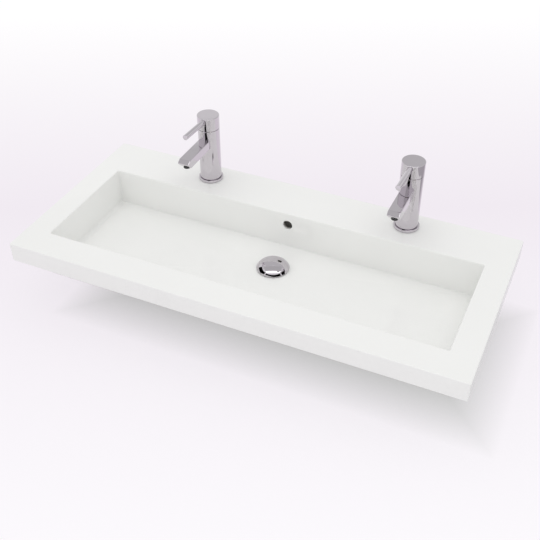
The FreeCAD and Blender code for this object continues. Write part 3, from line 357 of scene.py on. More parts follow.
class StageSettings(bpy.types.PropertyGroup):
    """The floor, the light and the camera."""
    floor_near: colour("Floor Near", "Floor before the basin", (0.960, 0.945, 0.970))
    floor_middle: colour("Floor Middle", "Floor around the basin", (0.855, 0.806, 0.862))
    floor_far: colour("Floor Far", "Floor behind the basin", (1.0, 1.0, 1.0))
    floor_glow: portion("Floor Glow", "Share of the floor's colour that is seen unshaded", 0.80)
    floor_strength: strength("Floor Strength", "Strength of the floor's unshaded share", 1.06)
    # Painted shade: the floor's colour is darkened under the part, on top of the shadow that the light casts.
    painted_floor_shade: colour("Floor Shade", "Deepest shade of the floor under the part", (0.58, 0.61, 0.57))
    # Painted shade: the floor right of the part is darker in reflections only.
    reflected_right_shade: portion("Floor Right", "Share of the right-hand floor's colour that gloss shows", 0.55)
    floor_end: portion("Floor End", "Share of its colour that the floor keeps where it meets the sky", 0.83)
    # The painted shade lies further to the right, as if the light came from the left.
    painted_shade_shift: length("Shade Shift", "How far that shade lies to the right of the part", 0.07)
    floor_size: length("Floor Size", "Side of the square floor", 16.0)
    floor_gap: length("Floor Gap", "From the lowest point of the part to the floor", 0.0015)
    eye: location("Eye", "Place of the camera", (0.6041, -1.5393, 1.1367))
    aim: location("Aim", "Where the camera looks", (0.0456, -0.3133, 0.045))
    roll: angle("Roll", "Turn of the camera about its line of sight", -0.20)
    lens: FloatProperty(name="Lens", description="Focal length on a 36 mm sensor", default=56.4, min=1.0,
                        subtype="DISTANCE_CAMERA", unit="CAMERA")
    sky: strength("Sky", "Strength of the even white light from all round", 0.865)
    right_fall: portion("Right Fall", "How much less of that light comes from the right", 0.10)
    panel_height: length("Panel Height", "Height of the panel that the chrome reflects", 2.6)
    panel_width: length("Panel Width", "Width of that panel", 4.2)
    panel_front: length("Panel Front", "From the waste to that panel's far edge", 1.58)
    panel_back: length("Panel Back", "From the waste to that panel's near edge", 0.53)
    panel_turn: angle("Panel Turn", "Turn of that panel towards the camera", 24.3)
    panel_strength: strength("Panel Strength", "Brightness of that panel", 2.5)
    ceiling_back: FloatProperty(name="Ceiling Back", default=-1.6, subtype="DISTANCE", unit="LENGTH",
                                description="From the waste to the rear edge of the grey card by that panel")
    ceiling_strength: strength("Ceiling Strength", "Brightness of that grey card", 0.58)
    flag_offset: location("Flag Offset", "From a spout's nose to the card above it", (-0.045, -0.052, 0.128))
    flag_width: length("Flag Width", "Width of that card", 0.11)
    flag_depth: length("Flag Depth", "Depth of that card", 0.09)
    flag_strength: strength("Flag Strength", "Brightness of that card", 0.62)
    card_distance: length("Card Distance", "From the origin to the curved cards round the part", 3.2)
    key: FloatProperty(name="Key", description="Power of the soft panel overhead", default=8.5, min=0.0,
                       subtype="POWER", unit="POWER")


def settings(name):
    """One group of settings of the scene."""
    return getattr(bpy.context.scene, name)


def fillet(before, corner, after, radius):
    """Points of the arc that rounds a corner between its two neighbours."""
    to_before = (before - corner).normalized()
    to_after = (after - corner).normalized()
    half = to_before.angle(to_after) / 2
    centre = corner + (to_before + to_after).normalized() * (radius / sin(half))
    reach = radius / tan(half)
    start = (corner + to_before * reach - centre).normalized()
    end = (corner + to_after * reach - centre).normalized()
    return [centre + start.slerp(end, step / ARC_STEPS) * radius for step in range(ARC_STEPS + 1)]


def rounded(corners):
    """The points of a closed outline whose corners are given as (across, up, radius)."""
    plain = [Vector(corner[:2]) for corner in corners]
    points = []
    for index, (_, _, radius) in enumerate(corners):
        if radius:
            points += fillet(plain[index - 1], plain[index], plain[(index + 1) % len(plain)], radius)
        else:
            points.append(plain[index])
    return points


def quarter_arc(radius):
    """How far a rounded edge lies inward and below at each step of its quarter turn."""
    turns = [step * pi / 2 / ARC_STEPS for step in range(ARC_STEPS + 1)]
    return [(radius * (1 - cos(turn)), radius * (1 - sin(turn))) for turn in turns]


def new_object(name, data):
    """A new object at the origin of the scene."""
    holder = bpy.data.objects.new(name, data)
    bpy.context.scene.collection.objects.link(holder)
    return holder


def mesh_object(name, shape):
    """An object that holds the shape as it is."""
    mesh = bpy.data.meshes.new(name)
    shape.to_mesh(mesh)
    shape.free()
    return new_object(name, mesh)


def new_piece(name, shape):
    """An object that holds the shape, with its doubles merged and its faces turned outwards."""
    bmesh.ops.remove_doubles(shape, verts=shape.verts, dist=MERGE_DISTANCE)
    bmesh.ops.recalc_face_normals(shape, faces=shape.faces)
    return mesh_object(name, shape)


def turned(name, profile, centre, axis=UP, steps=TURN_STEPS):
    """A turned piece: the closed profile (radius, height) spun round an axis through the centre."""
    shape = bmesh.new()
    middle = Vector(centre)
    tilt = UP.rotation_difference(axis)
    rings = []
    for step in range(steps):
        around = 2 * pi * step / steps
        rings.append([
            shape.verts.new(middle + tilt @ Vector((radius * cos(around), radius * sin(around), height)))
            for radius, height in profile
        ])
    for ring, following in zip(rings, rings[1:] + rings[:1]):
        for here, (radius, _) in enumerate(profile):
            there = (here + 1) % len(profile)
            if radius > TINY or profile[there][0] > TINY:
                shape.faces.new((ring[here], following[here], following[there], ring[there]))
    return new_piece(name, shape)


def drawn_out(name, outline, start, end, placed):
    """A prism: an outline drawn out between two depths, where placed turns (a, b, depth) into a point."""
    shape = bmesh.new()
    first = [shape.verts.new(placed(across, up, start)) for across, up in outline]
    last = [shape.verts.new(placed(across, up, end)) for across, up in outline]
    shape.faces.new(first)
    shape.faces.new(last)
    for here in range(len(outline)):
        there = (here + 1) % len(outline)
        shape.faces.new((first[here], first[there], last[there], last[here]))
    return new_piece(name, shape)


def along_x(across, up, depth):
    """A side view drawn out from left to right."""
    return depth, across, up


def along_y(across, up, depth):
    """A front view drawn out from front to back."""
    return across, depth, up


def along_z(across, up, depth):
    """A plan drawn out upwards."""
    return across, up, depth


def rod(radius, low, high):
    """The profile of a plain round rod."""
    return [(0, low), (radius, low), (radius, high), (0, high)]


def ring(inner, outer, low, high, edge=0.0):
    """The profile of a ring, with its four edges broken."""
    return rounded([(inner, low, edge), (outer, low, edge), (outer, high, edge), (inner, high, edge)])


def box_outline(left, right, low, high):
    """The four corners of a rectangle."""
    return [(left, low), (right, low), (right, high), (left, high)]


def hexagon(centre, flats):
    """The six corners of a nut in plan."""
    radius = flats / 2 / cos(pi / 6)
    return [(centre.x + radius * cos(turn * pi / 3), centre.y + radius * sin(turn * pi / 3))
            for turn in range(6)]


def settle(piece):
    """The piece's modifiers become its plain mesh."""
    graph = bpy.context.evaluated_depsgraph_get()
    mesh = bpy.data.meshes.new_from_object(piece.evaluated_get(graph), preserve_all_data_layers=True,
                                           depsgraph=graph)
    piece.modifiers.clear()
    piece.data = mesh


def combine(piece, tool, operation):
    """Cuts the tool from the piece, or joins it to the piece, and removes the tool."""
    modifier = piece.modifiers.new("Combine", "BOOLEAN")
    modifier.object = tool
    modifier.operation = operation
    modifier.solver = "EXACT"
    settle(piece)
    bpy.data.objects.remove(tool)


def cut(piece, tool):
    """Cuts the tool from the piece."""
    combine(piece, tool, "DIFFERENCE")


def break_edges(piece, width, steps=EDGE_STEPS):
    """Rounds the piece's sharp edges."""
    modifier = piece.modifiers.new("Broken Edges", "BEVEL")
    modifier.width = width
    modifier.segments = steps
    modifier.limit_method = "ANGLE"
    modifier.angle_limit = SHARP_ANGLE
    settle(piece)


def smooth(piece):
    """Smooth shading that keeps sharp edges sharp and flat faces flat."""
    mesh = piece.data
    mesh.polygons.foreach_set("use_smooth", [True] * len(mesh.polygons))
    mesh.set_sharp_from_angle(angle=SHARP_ANGLE)
    modifier = piece.modifiers.new("Flat Faces", "WEIGHTED_NORMAL")
    modifier.keep_sharp = True
    settle(piece)


def finish(slot):
    """The material that goes with a slot of the record."""
    return bpy.data.materials[SLOT_FINISHES[slot]]


def fit(piece, body, slot, *nodes, keep_materials=False):
    """Shades the piece, gives it its finish, and sets it in the place of its nodes on its body."""
    if not keep_materials:
        piece.data.materials.clear()
        piece.data.materials.append(finish(slot))
    smooth(piece)
    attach(piece, body)
    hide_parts(*nodes)


def heights(node):
    """The lowest and highest point of a node."""
    low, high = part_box(node)
    return low.z, high.z


def radius_of(node):
    """Half the width of a turned node."""
    low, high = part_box(node)
    return (high.x - low.x) / 2


def axis_of(node):
    """Where the upright axis through the middle of a node meets height 0."""
    low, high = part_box(node)
    return Vector(((low.x + high.x) / 2, (low.y + high.y) / 2, 0))


def tap_axis(side):
    """The tap's axis at height 0, about which its pieces are turned."""
    return axis_of(f"{side}_tap_base_ring")


def waste_axis():
    """The waste's axis at height 0."""
    return axis_of("waste_flange")


def hexagon_nut(name, node, centre, flats, bore, shoulder, corner, chamfer):
    """A bored nut in the place of a node, chamfered from its shoulder out to its corners."""
    low, high = heights(node)
    nut = drawn_out(name, hexagon(centre, flats), low, high, along_z)
    blank = [(0, low), (shoulder, low), (corner, low + chamfer), (corner, high - chamfer),
             (shoulder, high), (0, high)]
    combine(nut, turned("nut_blank", blank, centre), "INTERSECT")
    cut(nut, turned("nut_bore", rod(bore, low - BORE_MARGIN, high + BORE_MARGIN), centre))
    return nut


def new_tree(name, inputs):
    """A tree of geometry nodes with named inputs, its group input and its group output."""
    tree = bpy.data.node_groups.new(name, "GeometryNodeTree")
    tree.interface.new_socket("Geometry", in_out="INPUT", socket_type="NodeSocketGeometry")
    for label, kind in inputs.items():
        tree.interface.new_socket(label, in_out="INPUT", socket_type=f"NodeSocket{kind}")
    tree.interface.new_socket("Material", in_out="INPUT", socket_type="NodeSocketMaterial")
    tree.interface.new_socket("Geometry", in_out="OUTPUT", socket_type="NodeSocketGeometry")
    return tree, tree.nodes.new("NodeGroupInput").outputs


def add_node(tree, kind, links=None, values=None, **options):
    """One node with its options, its inputs linked to outputs of others, and its plain values."""
    node = tree.nodes.new(kind)
    for option, value in options.items():
        setattr(node, option, value)
    for socket, source in (links or {}).items():
        tree.links.new(source, node.inputs[socket])
    for socket, value in (values or {}).items():
        node.inputs[socket].default_value = value
    return node


def end_tree(tree, source, material):
    """Ends a tree: instances made real, then the material."""
    real = add_node(tree, "GeometryNodeRealizeInstances", {"Geometry": source})
    painted = add_node(tree, "GeometryNodeSetMaterial",
                       {"Geometry": real.outputs["Geometry"], "Material": material})
    add_node(tree, "NodeGroupOutput", {"Geometry": painted.outputs["Geometry"]})


def joined(tree, *sources):
    """The sources joined into one geometry."""
    node = add_node(tree, "GeometryNodeJoinGeometry")
    for source in sources:
        tree.links.new(source, node.inputs["Geometry"])
    return node.outputs["Geometry"]


def moved(tree, source, offset):
    """The source moved by an offset."""
    node = add_node(tree, "GeometryNodeSetPosition", {"Geometry": source, "Offset": offset})
    return node.outputs["Geometry"]


def calc(tree, operation, first, second):
    """The result of an operation on two links or numbers."""
    node = add_node(tree, "ShaderNodeMath", operation=operation)
    for socket, value in zip(node.inputs, (first, second)):
        if isinstance(value, (int, float)):
            socket.default_value = value
        else:
            tree.links.new(value, socket)
    return node.outputs["Value"]


def parts_of(tree, vector):
    """The parts of a vector, by X, Y and Z."""
    return add_node(tree, "ShaderNodeSeparateXYZ", {"Vector": vector}).outputs


def thread_tree():
    """A screw thread that winds up a rod."""
    tree, inputs = new_tree("Screw Thread", {
        "Core Radius": "Float", "Ridge Height": "Float", "Pitch": "Float", "Turns": "Float",
        "Steps": "Int", "Start": "Vector",
    })
    winding = add_node(tree, "GeometryNodeCurveSpiral", {
        "Resolution": inputs["Steps"], "Rotations": inputs["Turns"],
        "Start Radius": inputs["Core Radius"], "End Radius": inputs["Core Radius"],
        "Height": calc(tree, "MULTIPLY", inputs["Pitch"], inputs["Turns"]),
    })
    level = add_node(tree, "GeometryNodeSetCurveNormal", {"Curve": winding.outputs["Curve"]}, mode="Z_UP")
    section = add_node(tree, "GeometryNodeCurvePrimitiveCircle", {"Radius": inputs["Ridge Height"]},
                       {"Resolution": 4})
    ridge = add_node(tree, "GeometryNodeCurveToMesh", {
        "Curve": level.outputs["Curve"], "Profile Curve": section.outputs["Curve"],
    }, {"Fill Caps": True})
    placed = moved(tree, ridge.outputs["Mesh"], inputs["Start"])
    end_tree(tree, joined(tree, inputs["Geometry"], placed), inputs["Material"])
    return tree


def screen_tree():
    """Rows of six-sided holes through a disc."""
    tree, inputs = new_tree("Stream Screen", {
        "Hole Width": "Float", "Pitch": "Float", "Field Radius": "Float", "Depth": "Float",
        "Centre": "Vector",
    })
    row_pitch = calc(tree, "MULTIPLY", inputs["Pitch"], sqrt(3) / 2)
    half_rows = calc(tree, "CEIL", calc(tree, "DIVIDE", inputs["Field Radius"], row_pitch), 0)
    rows = calc(tree, "ADD", calc(tree, "MULTIPLY", half_rows, 2), 1)
    grid = add_node(tree, "GeometryNodeMeshGrid", {
        "Size X": calc(tree, "MULTIPLY", inputs["Pitch"], calc(tree, "MULTIPLY", half_rows, 2)),
        "Size Y": calc(tree, "MULTIPLY", row_pitch, calc(tree, "MULTIPLY", half_rows, 2)),
        "Vertices X": rows, "Vertices Y": rows,
    })
    place = add_node(tree, "GeometryNodeInputPosition").outputs["Position"]
    along = parts_of(tree, place)["Y"]
    row = calc(tree, "ROUND", calc(tree, "DIVIDE", along, row_pitch), 0)
    odd = calc(tree, "FLOORED_MODULO", row, 2)
    shift = add_node(tree, "ShaderNodeCombineXYZ",
                     {"X": calc(tree, "MULTIPLY", odd, calc(tree, "MULTIPLY", inputs["Pitch"], 0.5))})
    staggered = moved(tree, grid.outputs["Mesh"], shift.outputs["Vector"])
    distance = add_node(tree, "ShaderNodeVectorMath", {0: place}, operation="LENGTH")
    outside = calc(tree, "GREATER_THAN", distance.outputs["Value"], inputs["Field Radius"])
    field = add_node(tree, "GeometryNodeDeleteGeometry", {"Geometry": staggered, "Selection": outside})
    punch = add_node(tree, "GeometryNodeMeshCylinder", {
        "Radius": calc(tree, "DIVIDE", inputs["Hole Width"], sqrt(3)), "Depth": inputs["Depth"],
    }, {"Vertices": 6})
    punches = add_node(tree, "GeometryNodeInstanceOnPoints",
                       {"Points": field.outputs["Geometry"], "Instance": punch.outputs["Mesh"]},
                       {"Rotation": (0, 0, pi / 6)})
    real = add_node(tree, "GeometryNodeRealizeInstances", {"Geometry": punches.outputs["Instances"]})
    placed = moved(tree, real.outputs["Geometry"], inputs["Centre"])
    pierced = add_node(tree, "GeometryNodeMeshBoolean", {"Mesh 1": inputs["Geometry"], "Mesh 2": placed},
                       operation="DIFFERENCE")
    end_tree(tree, pierced.outputs["Mesh"], inputs["Material"])
    return tree


def grip_tree():
    """Ribs round the rim of a ring."""
    tree, inputs = new_tree("Grip Ribs", {
        "Count": "Int", "Radius": "Float", "Rib Size": "Vector", "Centre": "Vector",
    })
    circle = add_node(tree, "GeometryNodeMeshCircle",
                      {"Vertices": inputs["Count"], "Radius": inputs["Radius"]})
    place = add_node(tree, "GeometryNodeInputPosition").outputs["Position"]
    facing = add_node(tree, "FunctionNodeAlignRotationToVector", {"Vector": place}, axis="X")
    rib = add_node(tree, "GeometryNodeMeshCube", {"Size": inputs["Rib Size"]})
    ribs = add_node(tree, "GeometryNodeInstanceOnPoints", {
        "Points": circle.outputs["Mesh"], "Instance": rib.outputs["Mesh"],
        "Rotation": facing.outputs["Rotation"],
    })
    placed = moved(tree, ribs.outputs["Instances"], inputs["Centre"])
    end_tree(tree, joined(tree, inputs["Geometry"], placed), inputs["Material"])
    return tree


def shared_tree(name, maker):
    """The tree of that name, made once."""
    return bpy.data.node_groups.get(name) or maker()


def grow(piece, tree, slot, **values):
    """Runs a tree on the piece, with its inputs set by their labels, and makes the result a plain mesh."""
    modifier = piece.modifiers.new(tree.name, "NODES")
    modifier.node_group = tree
    wanted = {label.replace("_", " ").title(): value for label, value in values.items()}
    wanted["Material"] = finish(slot)
    for item in tree.interface.items_tree:
        if item.in_out == "INPUT" and item.name in wanted:
            modifier[item.identifier] = wanted[item.name]
    settle(piece)


def start_material(name, **values):
    """A new material and its shader, with the shader's plain values set."""
    material = bpy.data.materials.new(name)
    material.use_nodes = True
    shader = material.node_tree.nodes["Principled BSDF"]
    for label, value in values.items():
        shader.inputs[label.replace("_", " ").title().replace("Ior", "IOR")].default_value = value
    return material.node_tree, shader


def own_place(tree):
    """The place on the object's own coordinates, in metres."""
    return add_node(tree, "ShaderNodeTexCoord").outputs["Object"]


def grain(tree, scale, detail, stretch):
    """Noise on the piece's own coordinates."""
    mapped = add_node(tree, "ShaderNodeMapping", {"Vector": own_place(tree)}, {"Scale": stretch})
    noise = add_node(tree, "ShaderNodeTexNoise", {"Vector": mapped.outputs["Vector"]},
                     {"Scale": scale, "Detail": detail})
    return noise.outputs["Fac"]


def spread(tree, source, low, high, start=0.3, end=0.7):
    """The source's middle range mapped between two values."""
    return add_node(tree, "ShaderNodeMapRange", {"Value": source}, {
        "From Min": start, "From Max": end, "To Min": low, "To Max": high,
    }).outputs["Result"]


def mixed_colour(tree, source, first, second):
    """A mix node between two plain colours."""
    node = tree.nodes.new("ShaderNodeMix")
    node.data_type = "RGBA"
    factor, start, end = (next(s for s in node.inputs if s.name == name and s.enabled)
                          for name in ("Factor", "A", "B"))
    tree.links.new(source, factor)
    start.default_value = (*first, 1.0)
    end.default_value = (*second, 1.0)
    return next(s for s in node.outputs if s.enabled)


def raised(tree, source, strength, distance):
    """A bump of that height in metres."""
    return add_node(tree, "ShaderNodeBump", {"Height": source},
                    {"Strength": strength, "Distance": distance}).outputs["Normal"]


def shade(tint, amount):
    """A colour made darker or lighter."""
    return tuple(min(1.0, part * amount) for part in tint)


def plain_finish(name, tint, contrast, scale, roughness, bump, metallic=0.0, stretch=(1, 1, 1)):
    """A finish with grain in its colour, its roughness and its surface."""
    tree, shader = start_material(name, metallic=metallic)
    coarse = grain(tree, scale, COARSE_DETAIL, stretch)
    fine = grain(tree, scale * FINE_SCALE, FINE_DETAIL, stretch)
    links = {
        "Base Color": mixed_colour(tree, spread(tree, coarse, 0, 1), shade(tint, 1 - contrast),
                                   shade(tint, 1 + contrast)),
        "Roughness": spread(tree, fine, *roughness),
        "Normal": raised(tree, fine, BUMP_STRENGTH, bump),
    }
    for label, source in links.items():
        tree.links.new(source, shader.inputs[label])


def make_finishes(tints):
    """All the finishes of the part."""
    names = SLOT_FINISHES
    plain_finish(names["glazed_white"], tints.glaze, 0.006, 9, (0.02, 0.05), 0.00001)
    plain_finish(RAW_FINISH, tints.raw, 0.08, 60, (0.75, 0.95), 0.0003)
    plain_finish(names["chrome"], tints.chrome, 0.015, 14, (0.03, 0.07), 0.000002, 1.0)
    plain_finish(names["brass"], tints.brass, 0.10, 90, (0.22, 0.40), 0.00004, 1.0, (1, 1, 14))
    plain_finish(names["steel"], tints.steel, 0.10, 120, (0.25, 0.45), 0.00004, 1.0)
    plain_finish(names["rubber"], tints.rubber, 0.25, 250, (0.55, 0.75), 0.00006)
    plain_finish(names["cartridge_plastic"], tints.cartridge, 0.05, 180, (0.35, 0.5), 0.00003)
    plain_finish(names["aerator_plastic"], tints.aerator, 0.2, 300, (0.35, 0.55), 0.00004)
    plain_finish(names["disc_ceramic"], tints.disc, 0.04, 150, (0.12, 0.25), 0.00001)


def outer_loop(inset, level):
    """One loop of the casting in plan, inset from its outside."""
    low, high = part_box("basin_shell")
    return loop(low.x + inset, high.x - inset, low.y + inset, high.y - inset, OUTER_CORNER, level, level)


def bowl_loop(inset, level, end_inset=None, end_level=None, radius=None):
    """One loop in plan, inset from the bowl's opening; the ends may have their own inset and level."""
    sizes = settings("basin_casting")
    low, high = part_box("basin_shell")
    end_inset = inset if end_inset is None else end_inset
    opening = (low.x + sizes.side_rim, high.x - sizes.side_rim,
               low.y + sizes.front_rim, high.y - sizes.back_deck)
    return loop(opening[0] + end_inset, opening[1] - end_inset, opening[2] + inset, opening[3] - inset,
                sizes.corner_radius if radius is None else radius, level,
                level if end_level is None else end_level)


def loop(left, right, front, back, radius, level, end_level):
    """A rounded rectangle in plan; its level runs from one at the long sides to another at the ends."""
    points = []
    corners = ((right, back, -1, -1), (left, back, 1, -1), (left, front, 1, 1), (right, front, -1, 1))
    for turn, (across, along, in_x, in_y) in enumerate(corners):
        middle = Vector((across + in_x * radius, along + in_y * radius))
        for step in range(CORNER_STEPS + 1):
            around = (turn + step / CORNER_STEPS) * pi / 2
            at_end = cos(around) ** 2
            points.append(Vector((middle.x + radius * cos(around), middle.y + radius * sin(around),
                                  level + (end_level - level) * at_end)))
        following = corners[(turn + 1) % 4]
        target = Vector((following[0] + following[2] * radius, following[1] + following[3] * radius))
        start = points[-1]
        on_long_side = turn % 2 == 0
        end = Vector((target.x, start.y, start.z)) if on_long_side else Vector((start.x, target.y, start.z))
        steps = LONG_SIDE_STEPS if on_long_side else SHORT_SIDE_STEPS
        points += [start.lerp(end, side_share(step / steps, on_long_side)) for step in range(1, steps)]
    return points


def side_share(share, on_long_side):
    """Points lie closer together in the middle of a long side, where the waste is."""
    if not on_long_side:
        return share
    return 0.5 + tan((2 * share - 1) * MIDDLE_SWING) / tan(MIDDLE_SWING) / 2


def round_loop(directions, centre, radius, level):
    """A circle whose points lie in the directions of a loop's points."""
    return [Vector((centre.x + radius * cos(around), centre.y + radius * sin(around), level))
            for around in directions]


def eased(first, second, share, level):
    """A loop between two others, at its own level."""
    points = [a.lerp(b, share) for a, b in zip(first, second)]
    for point in points:
        point.z = level
    return points


def casting_loops(sizes, waste):
    """The loops that the casting's surface runs through, and the number of the first one past the glaze."""
    low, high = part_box("basin_shell")
    deck = high.z
    lean = tan(sizes.bowl_draft)
    floor_edge = deck - sizes.bowl_depth
    waste_level = floor_edge - sizes.floor_fall
    centre = waste_axis()

    loops = [outer_loop(sizes.apron_wall, 0.0), outer_loop(FOOT_EDGE, 0.0), outer_loop(0.0, FOOT_EDGE)]
    rim = quarter_arc(sizes.edge_radius)
    loops += [outer_loop(inward, deck - below) for inward, below in rim]
    loops += [bowl_loop(-outward, deck - below, radius=sizes.corner_radius + outward)
              for outward, below in reversed(rim)]
    for (side_in, side_up), (end_in, end_up) in zip(quarter_arc(sizes.side_floor_radius),
                                                    quarter_arc(sizes.end_floor_radius)):
        loops.append(bowl_loop(
            (sizes.bowl_depth - side_up) * lean + side_in, floor_edge + side_up,
            (sizes.bowl_depth - end_up) * lean + end_in, floor_edge + end_up))
    floor_loop = loops[-1]
    directions = [atan2(point.y - centre.y, point.x - centre.x) for point in floor_loop]

    def circle(radius, level):
        return round_loop(directions, centre, radius, level)

    flat = circle(FLAT_RADIUS, waste_level)
    loops += [eased(floor_loop, flat, share, floor_edge - sizes.floor_fall * share) for share in FALL_SHARES]
    recess = radius_of("waste_flange") + RECESS_GAP
    recess_floor = heights("waste_flange_seal")[0]
    hole = waste.hole_diameter / 2
    loops += [flat, circle(recess, waste_level), circle(recess, recess_floor), circle(hole, recess_floor)]
    bare_from = len(loops) - 1

    floor_under = waste_level - sizes.floor_thickness
    deck_under = deck - sizes.deck_thickness
    boss = waste.boss_diameter / 2
    soft = quarter_arc(UNDERSIDE_RADIUS)
    loops += [circle(hole, low.z), circle(boss, low.z)]
    loops += [circle(boss + inward, floor_under - below) for inward, below in soft]
    loops += [bowl_loop(inward - sizes.bowl_wall, floor_under + above) for inward, above in reversed(soft)]
    loops += [bowl_loop(-sizes.bowl_wall - outward, deck_under - below) for outward, below in soft]
    loops += [outer_loop(sizes.apron_wall + inward, deck_under - below) for inward, below in reversed(soft)]
    return loops, bare_from


def lofted(name, loops, bare_from):
    """A closed skin through loops of the same number of points; faces from one loop on are bare."""
    shape = bmesh.new()
    rows = [[shape.verts.new(point) for point in points] for points in loops]
    for number, (row, following) in enumerate(zip(rows, rows[1:] + rows[:1])):
        for here in range(len(row)):
            there = (here + 1) % len(row)
            face = shape.faces.new((row[here], row[there], following[there], following[here]))
            face.material_index = 1 if number >= bare_from else 0
    return new_piece(name, shape)


def two_finishes(piece):
    """Gives the piece the casting's two finishes, the glazed one and the unglazed one."""
    piece.data.materials.append(finish("glazed_white"))
    piece.data.materials.append(bpy.data.materials[RAW_FINISH])


def bare(piece):
    """All the piece's faces take the unglazed finish."""
    two_finishes(piece)
    for face in piece.data.polygons:
        face.material_index = 1
    return piece


def overflow_housing(sizes, floor_under, bowl_back):
    """The housing of the overflow channel behind and under the bowl."""
    low, high = heights("basin_shell")
    waste_y = waste_axis().y
    back = bowl_back + sizes.bowl_wall + sizes.channel_depth + sizes.channel_wall
    front = bowl_back + sizes.bowl_wall / 2
    top = high - sizes.deck_thickness / 2
    step = floor_under + sizes.floor_thickness / 2
    half = sizes.channel_width / 2 + sizes.channel_wall
    outline = rounded([(waste_y, low, 0), (back, low, HOUSING_EDGE), (back, top, 0), (front, top, 0),
                       (front, step, 0), (waste_y, step, 0)])
    return bare(drawn_out("overflow_housing", outline, -half, half, along_x))


def make_overflow(casting, sizes):
    """Joins the overflow's housing to the casting, and cuts its channel and its hole."""
    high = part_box("basin_shell")[1]
    floor_under = high.z - sizes.bowl_depth - sizes.floor_fall - sizes.floor_thickness
    bowl_back = high.y - sizes.back_deck
    combine(casting, overflow_housing(sizes, floor_under, bowl_back), "UNION")
    waste_y = waste_axis().y
    channel_front = bowl_back + sizes.bowl_wall
    channel_back = channel_front + sizes.channel_depth
    channel_floor = floor_under - sizes.channel_depth
    half = sizes.channel_width / 2
    level = high.z - sizes.overflow_drop
    bore = sizes.overflow_diameter / 2
    lip = sizes.overflow_lip
    shaft_top = level + bore + SHAFT_HEADROOM
    cut(casting, bare(drawn_out("overflow_channel", [
        (waste_y, channel_floor), (channel_back, channel_floor), (channel_back, shaft_top),
        (channel_front, shaft_top), (channel_front, floor_under), (waste_y, floor_under),
    ], -half, half, along_x)))
    mouth = bowl_back - sizes.overflow_drop * tan(sizes.bowl_draft)
    thinned = rod(bore + CUT_MARGIN, mouth + sizes.overflow_wall, channel_front + CUT_MARGIN)
    cut(casting, bare(turned("overflow_thinning", thinned, (0, 0, level), BACKWARD)))
    profile = [(0, mouth - CUT_MARGIN), (bore + lip, mouth - CUT_MARGIN)]
    profile += [(bore + outward, mouth + inward) for inward, outward in quarter_arc(lip)]
    profile += [(bore, channel_front + 2 * CUT_MARGIN), (0, channel_front + 2 * CUT_MARGIN)]
    cut(casting, turned("overflow_hole", profile, (0, 0, level), BACKWARD))


def make_casting():
    """The white casting: deck, apron, bowl with its falls, overflow and tap holes."""
    sizes = settings("basin_casting")
    casting = lofted("basin_casting", *casting_loops(sizes, settings("basin_waste")))
    two_finishes(casting)
    make_overflow(casting, sizes)
    deck = heights("basin_shell")[1]
    hole = rod(sizes.tap_hole / 2, deck - TAP_HOLE_DEPTH, deck + WIDE_MARGIN)
    for side in SIDES:
        cut(casting, turned("tap_hole", hole, tap_axis(side)))
    fit(casting, "basin", "glazed_white", "basin_shell", keep_materials=True)


def dome_profile(radius, top):
    """The cover's dome from its rim up to its crown, through arcs that tighten towards the rim."""
    points = [(0.0, 0.0)]
    tilt = 0.0
    for end_tilt, arc_radius in DOME_ARCS:
        tilts = [tilt + (radians(end_tilt) - tilt) * step / ARC_STEPS for step in range(ARC_STEPS + 1)]
        for before, reached in zip(tilts, tilts[1:]):
            across, below = points[-1]
            points.append((across + arc_radius * (sin(reached) - sin(before)),
                           below + arc_radius * (cos(before) - cos(reached))))
        tilt = radians(end_tilt)
    scale = radius / points[-1][0]
    return [(across * scale, top - below * scale) for across, below in reversed(points)]


def make_waste():
    """The waste: cover, threaded body, sealing ring, slip washer and locking nut."""
    sizes = settings("basin_waste")
    centre = waste_axis()
    tail = sizes.tail_diameter / 2
    make_waste_cover(centre, sizes)
    make_waste_body(centre, tail, sizes)
    for node, name, slot, edge in WASTE_RINGS:
        low, high = heights(node)
        washer = turned(name, ring(tail + SLIP_GAP, radius_of(node), low, high, edge), centre)
        fit(washer, "basin", slot, node)
    half = sizes.nut_flats / 2
    nut = hexagon_nut("waste_locking_nut", "waste_backnut", centre, sizes.nut_flats, tail + SLIP_GAP,
                      half, half + LOCKING_NUT_CORNER, LOCKING_NUT_CHAMFER)
    break_edges(nut, LOCKING_NUT_EDGE)
    fit(nut, "basin", "brass", "waste_backnut")


def make_waste_cover(centre, sizes):
    """The domed cover, grooved for its seal and bored for the stem."""
    low, high = heights("waste_cap")
    radius = radius_of("waste_cap")
    foot = radius - sizes.cap_undercut
    cover = turned("waste_cover", [(0, low), (foot, low)] + dome_profile(radius, high), centre)
    seal = radius_of("waste_cap_seal")
    groove = ring(seal - SEAL_BAND, seal + SLIP_GAP, low - SMALL_MARGIN, heights("waste_cap_seal")[1])
    cut(cover, turned("seal_groove", groove, centre))
    hole = rod(radius_of("waste_stem") + SLIP_GAP, low - SMALL_MARGIN, heights("waste_stem")[1])
    cut(cover, turned("stem_hole", hole, centre))
    fit(cover, "waste_plug", "chrome", "waste_cap")


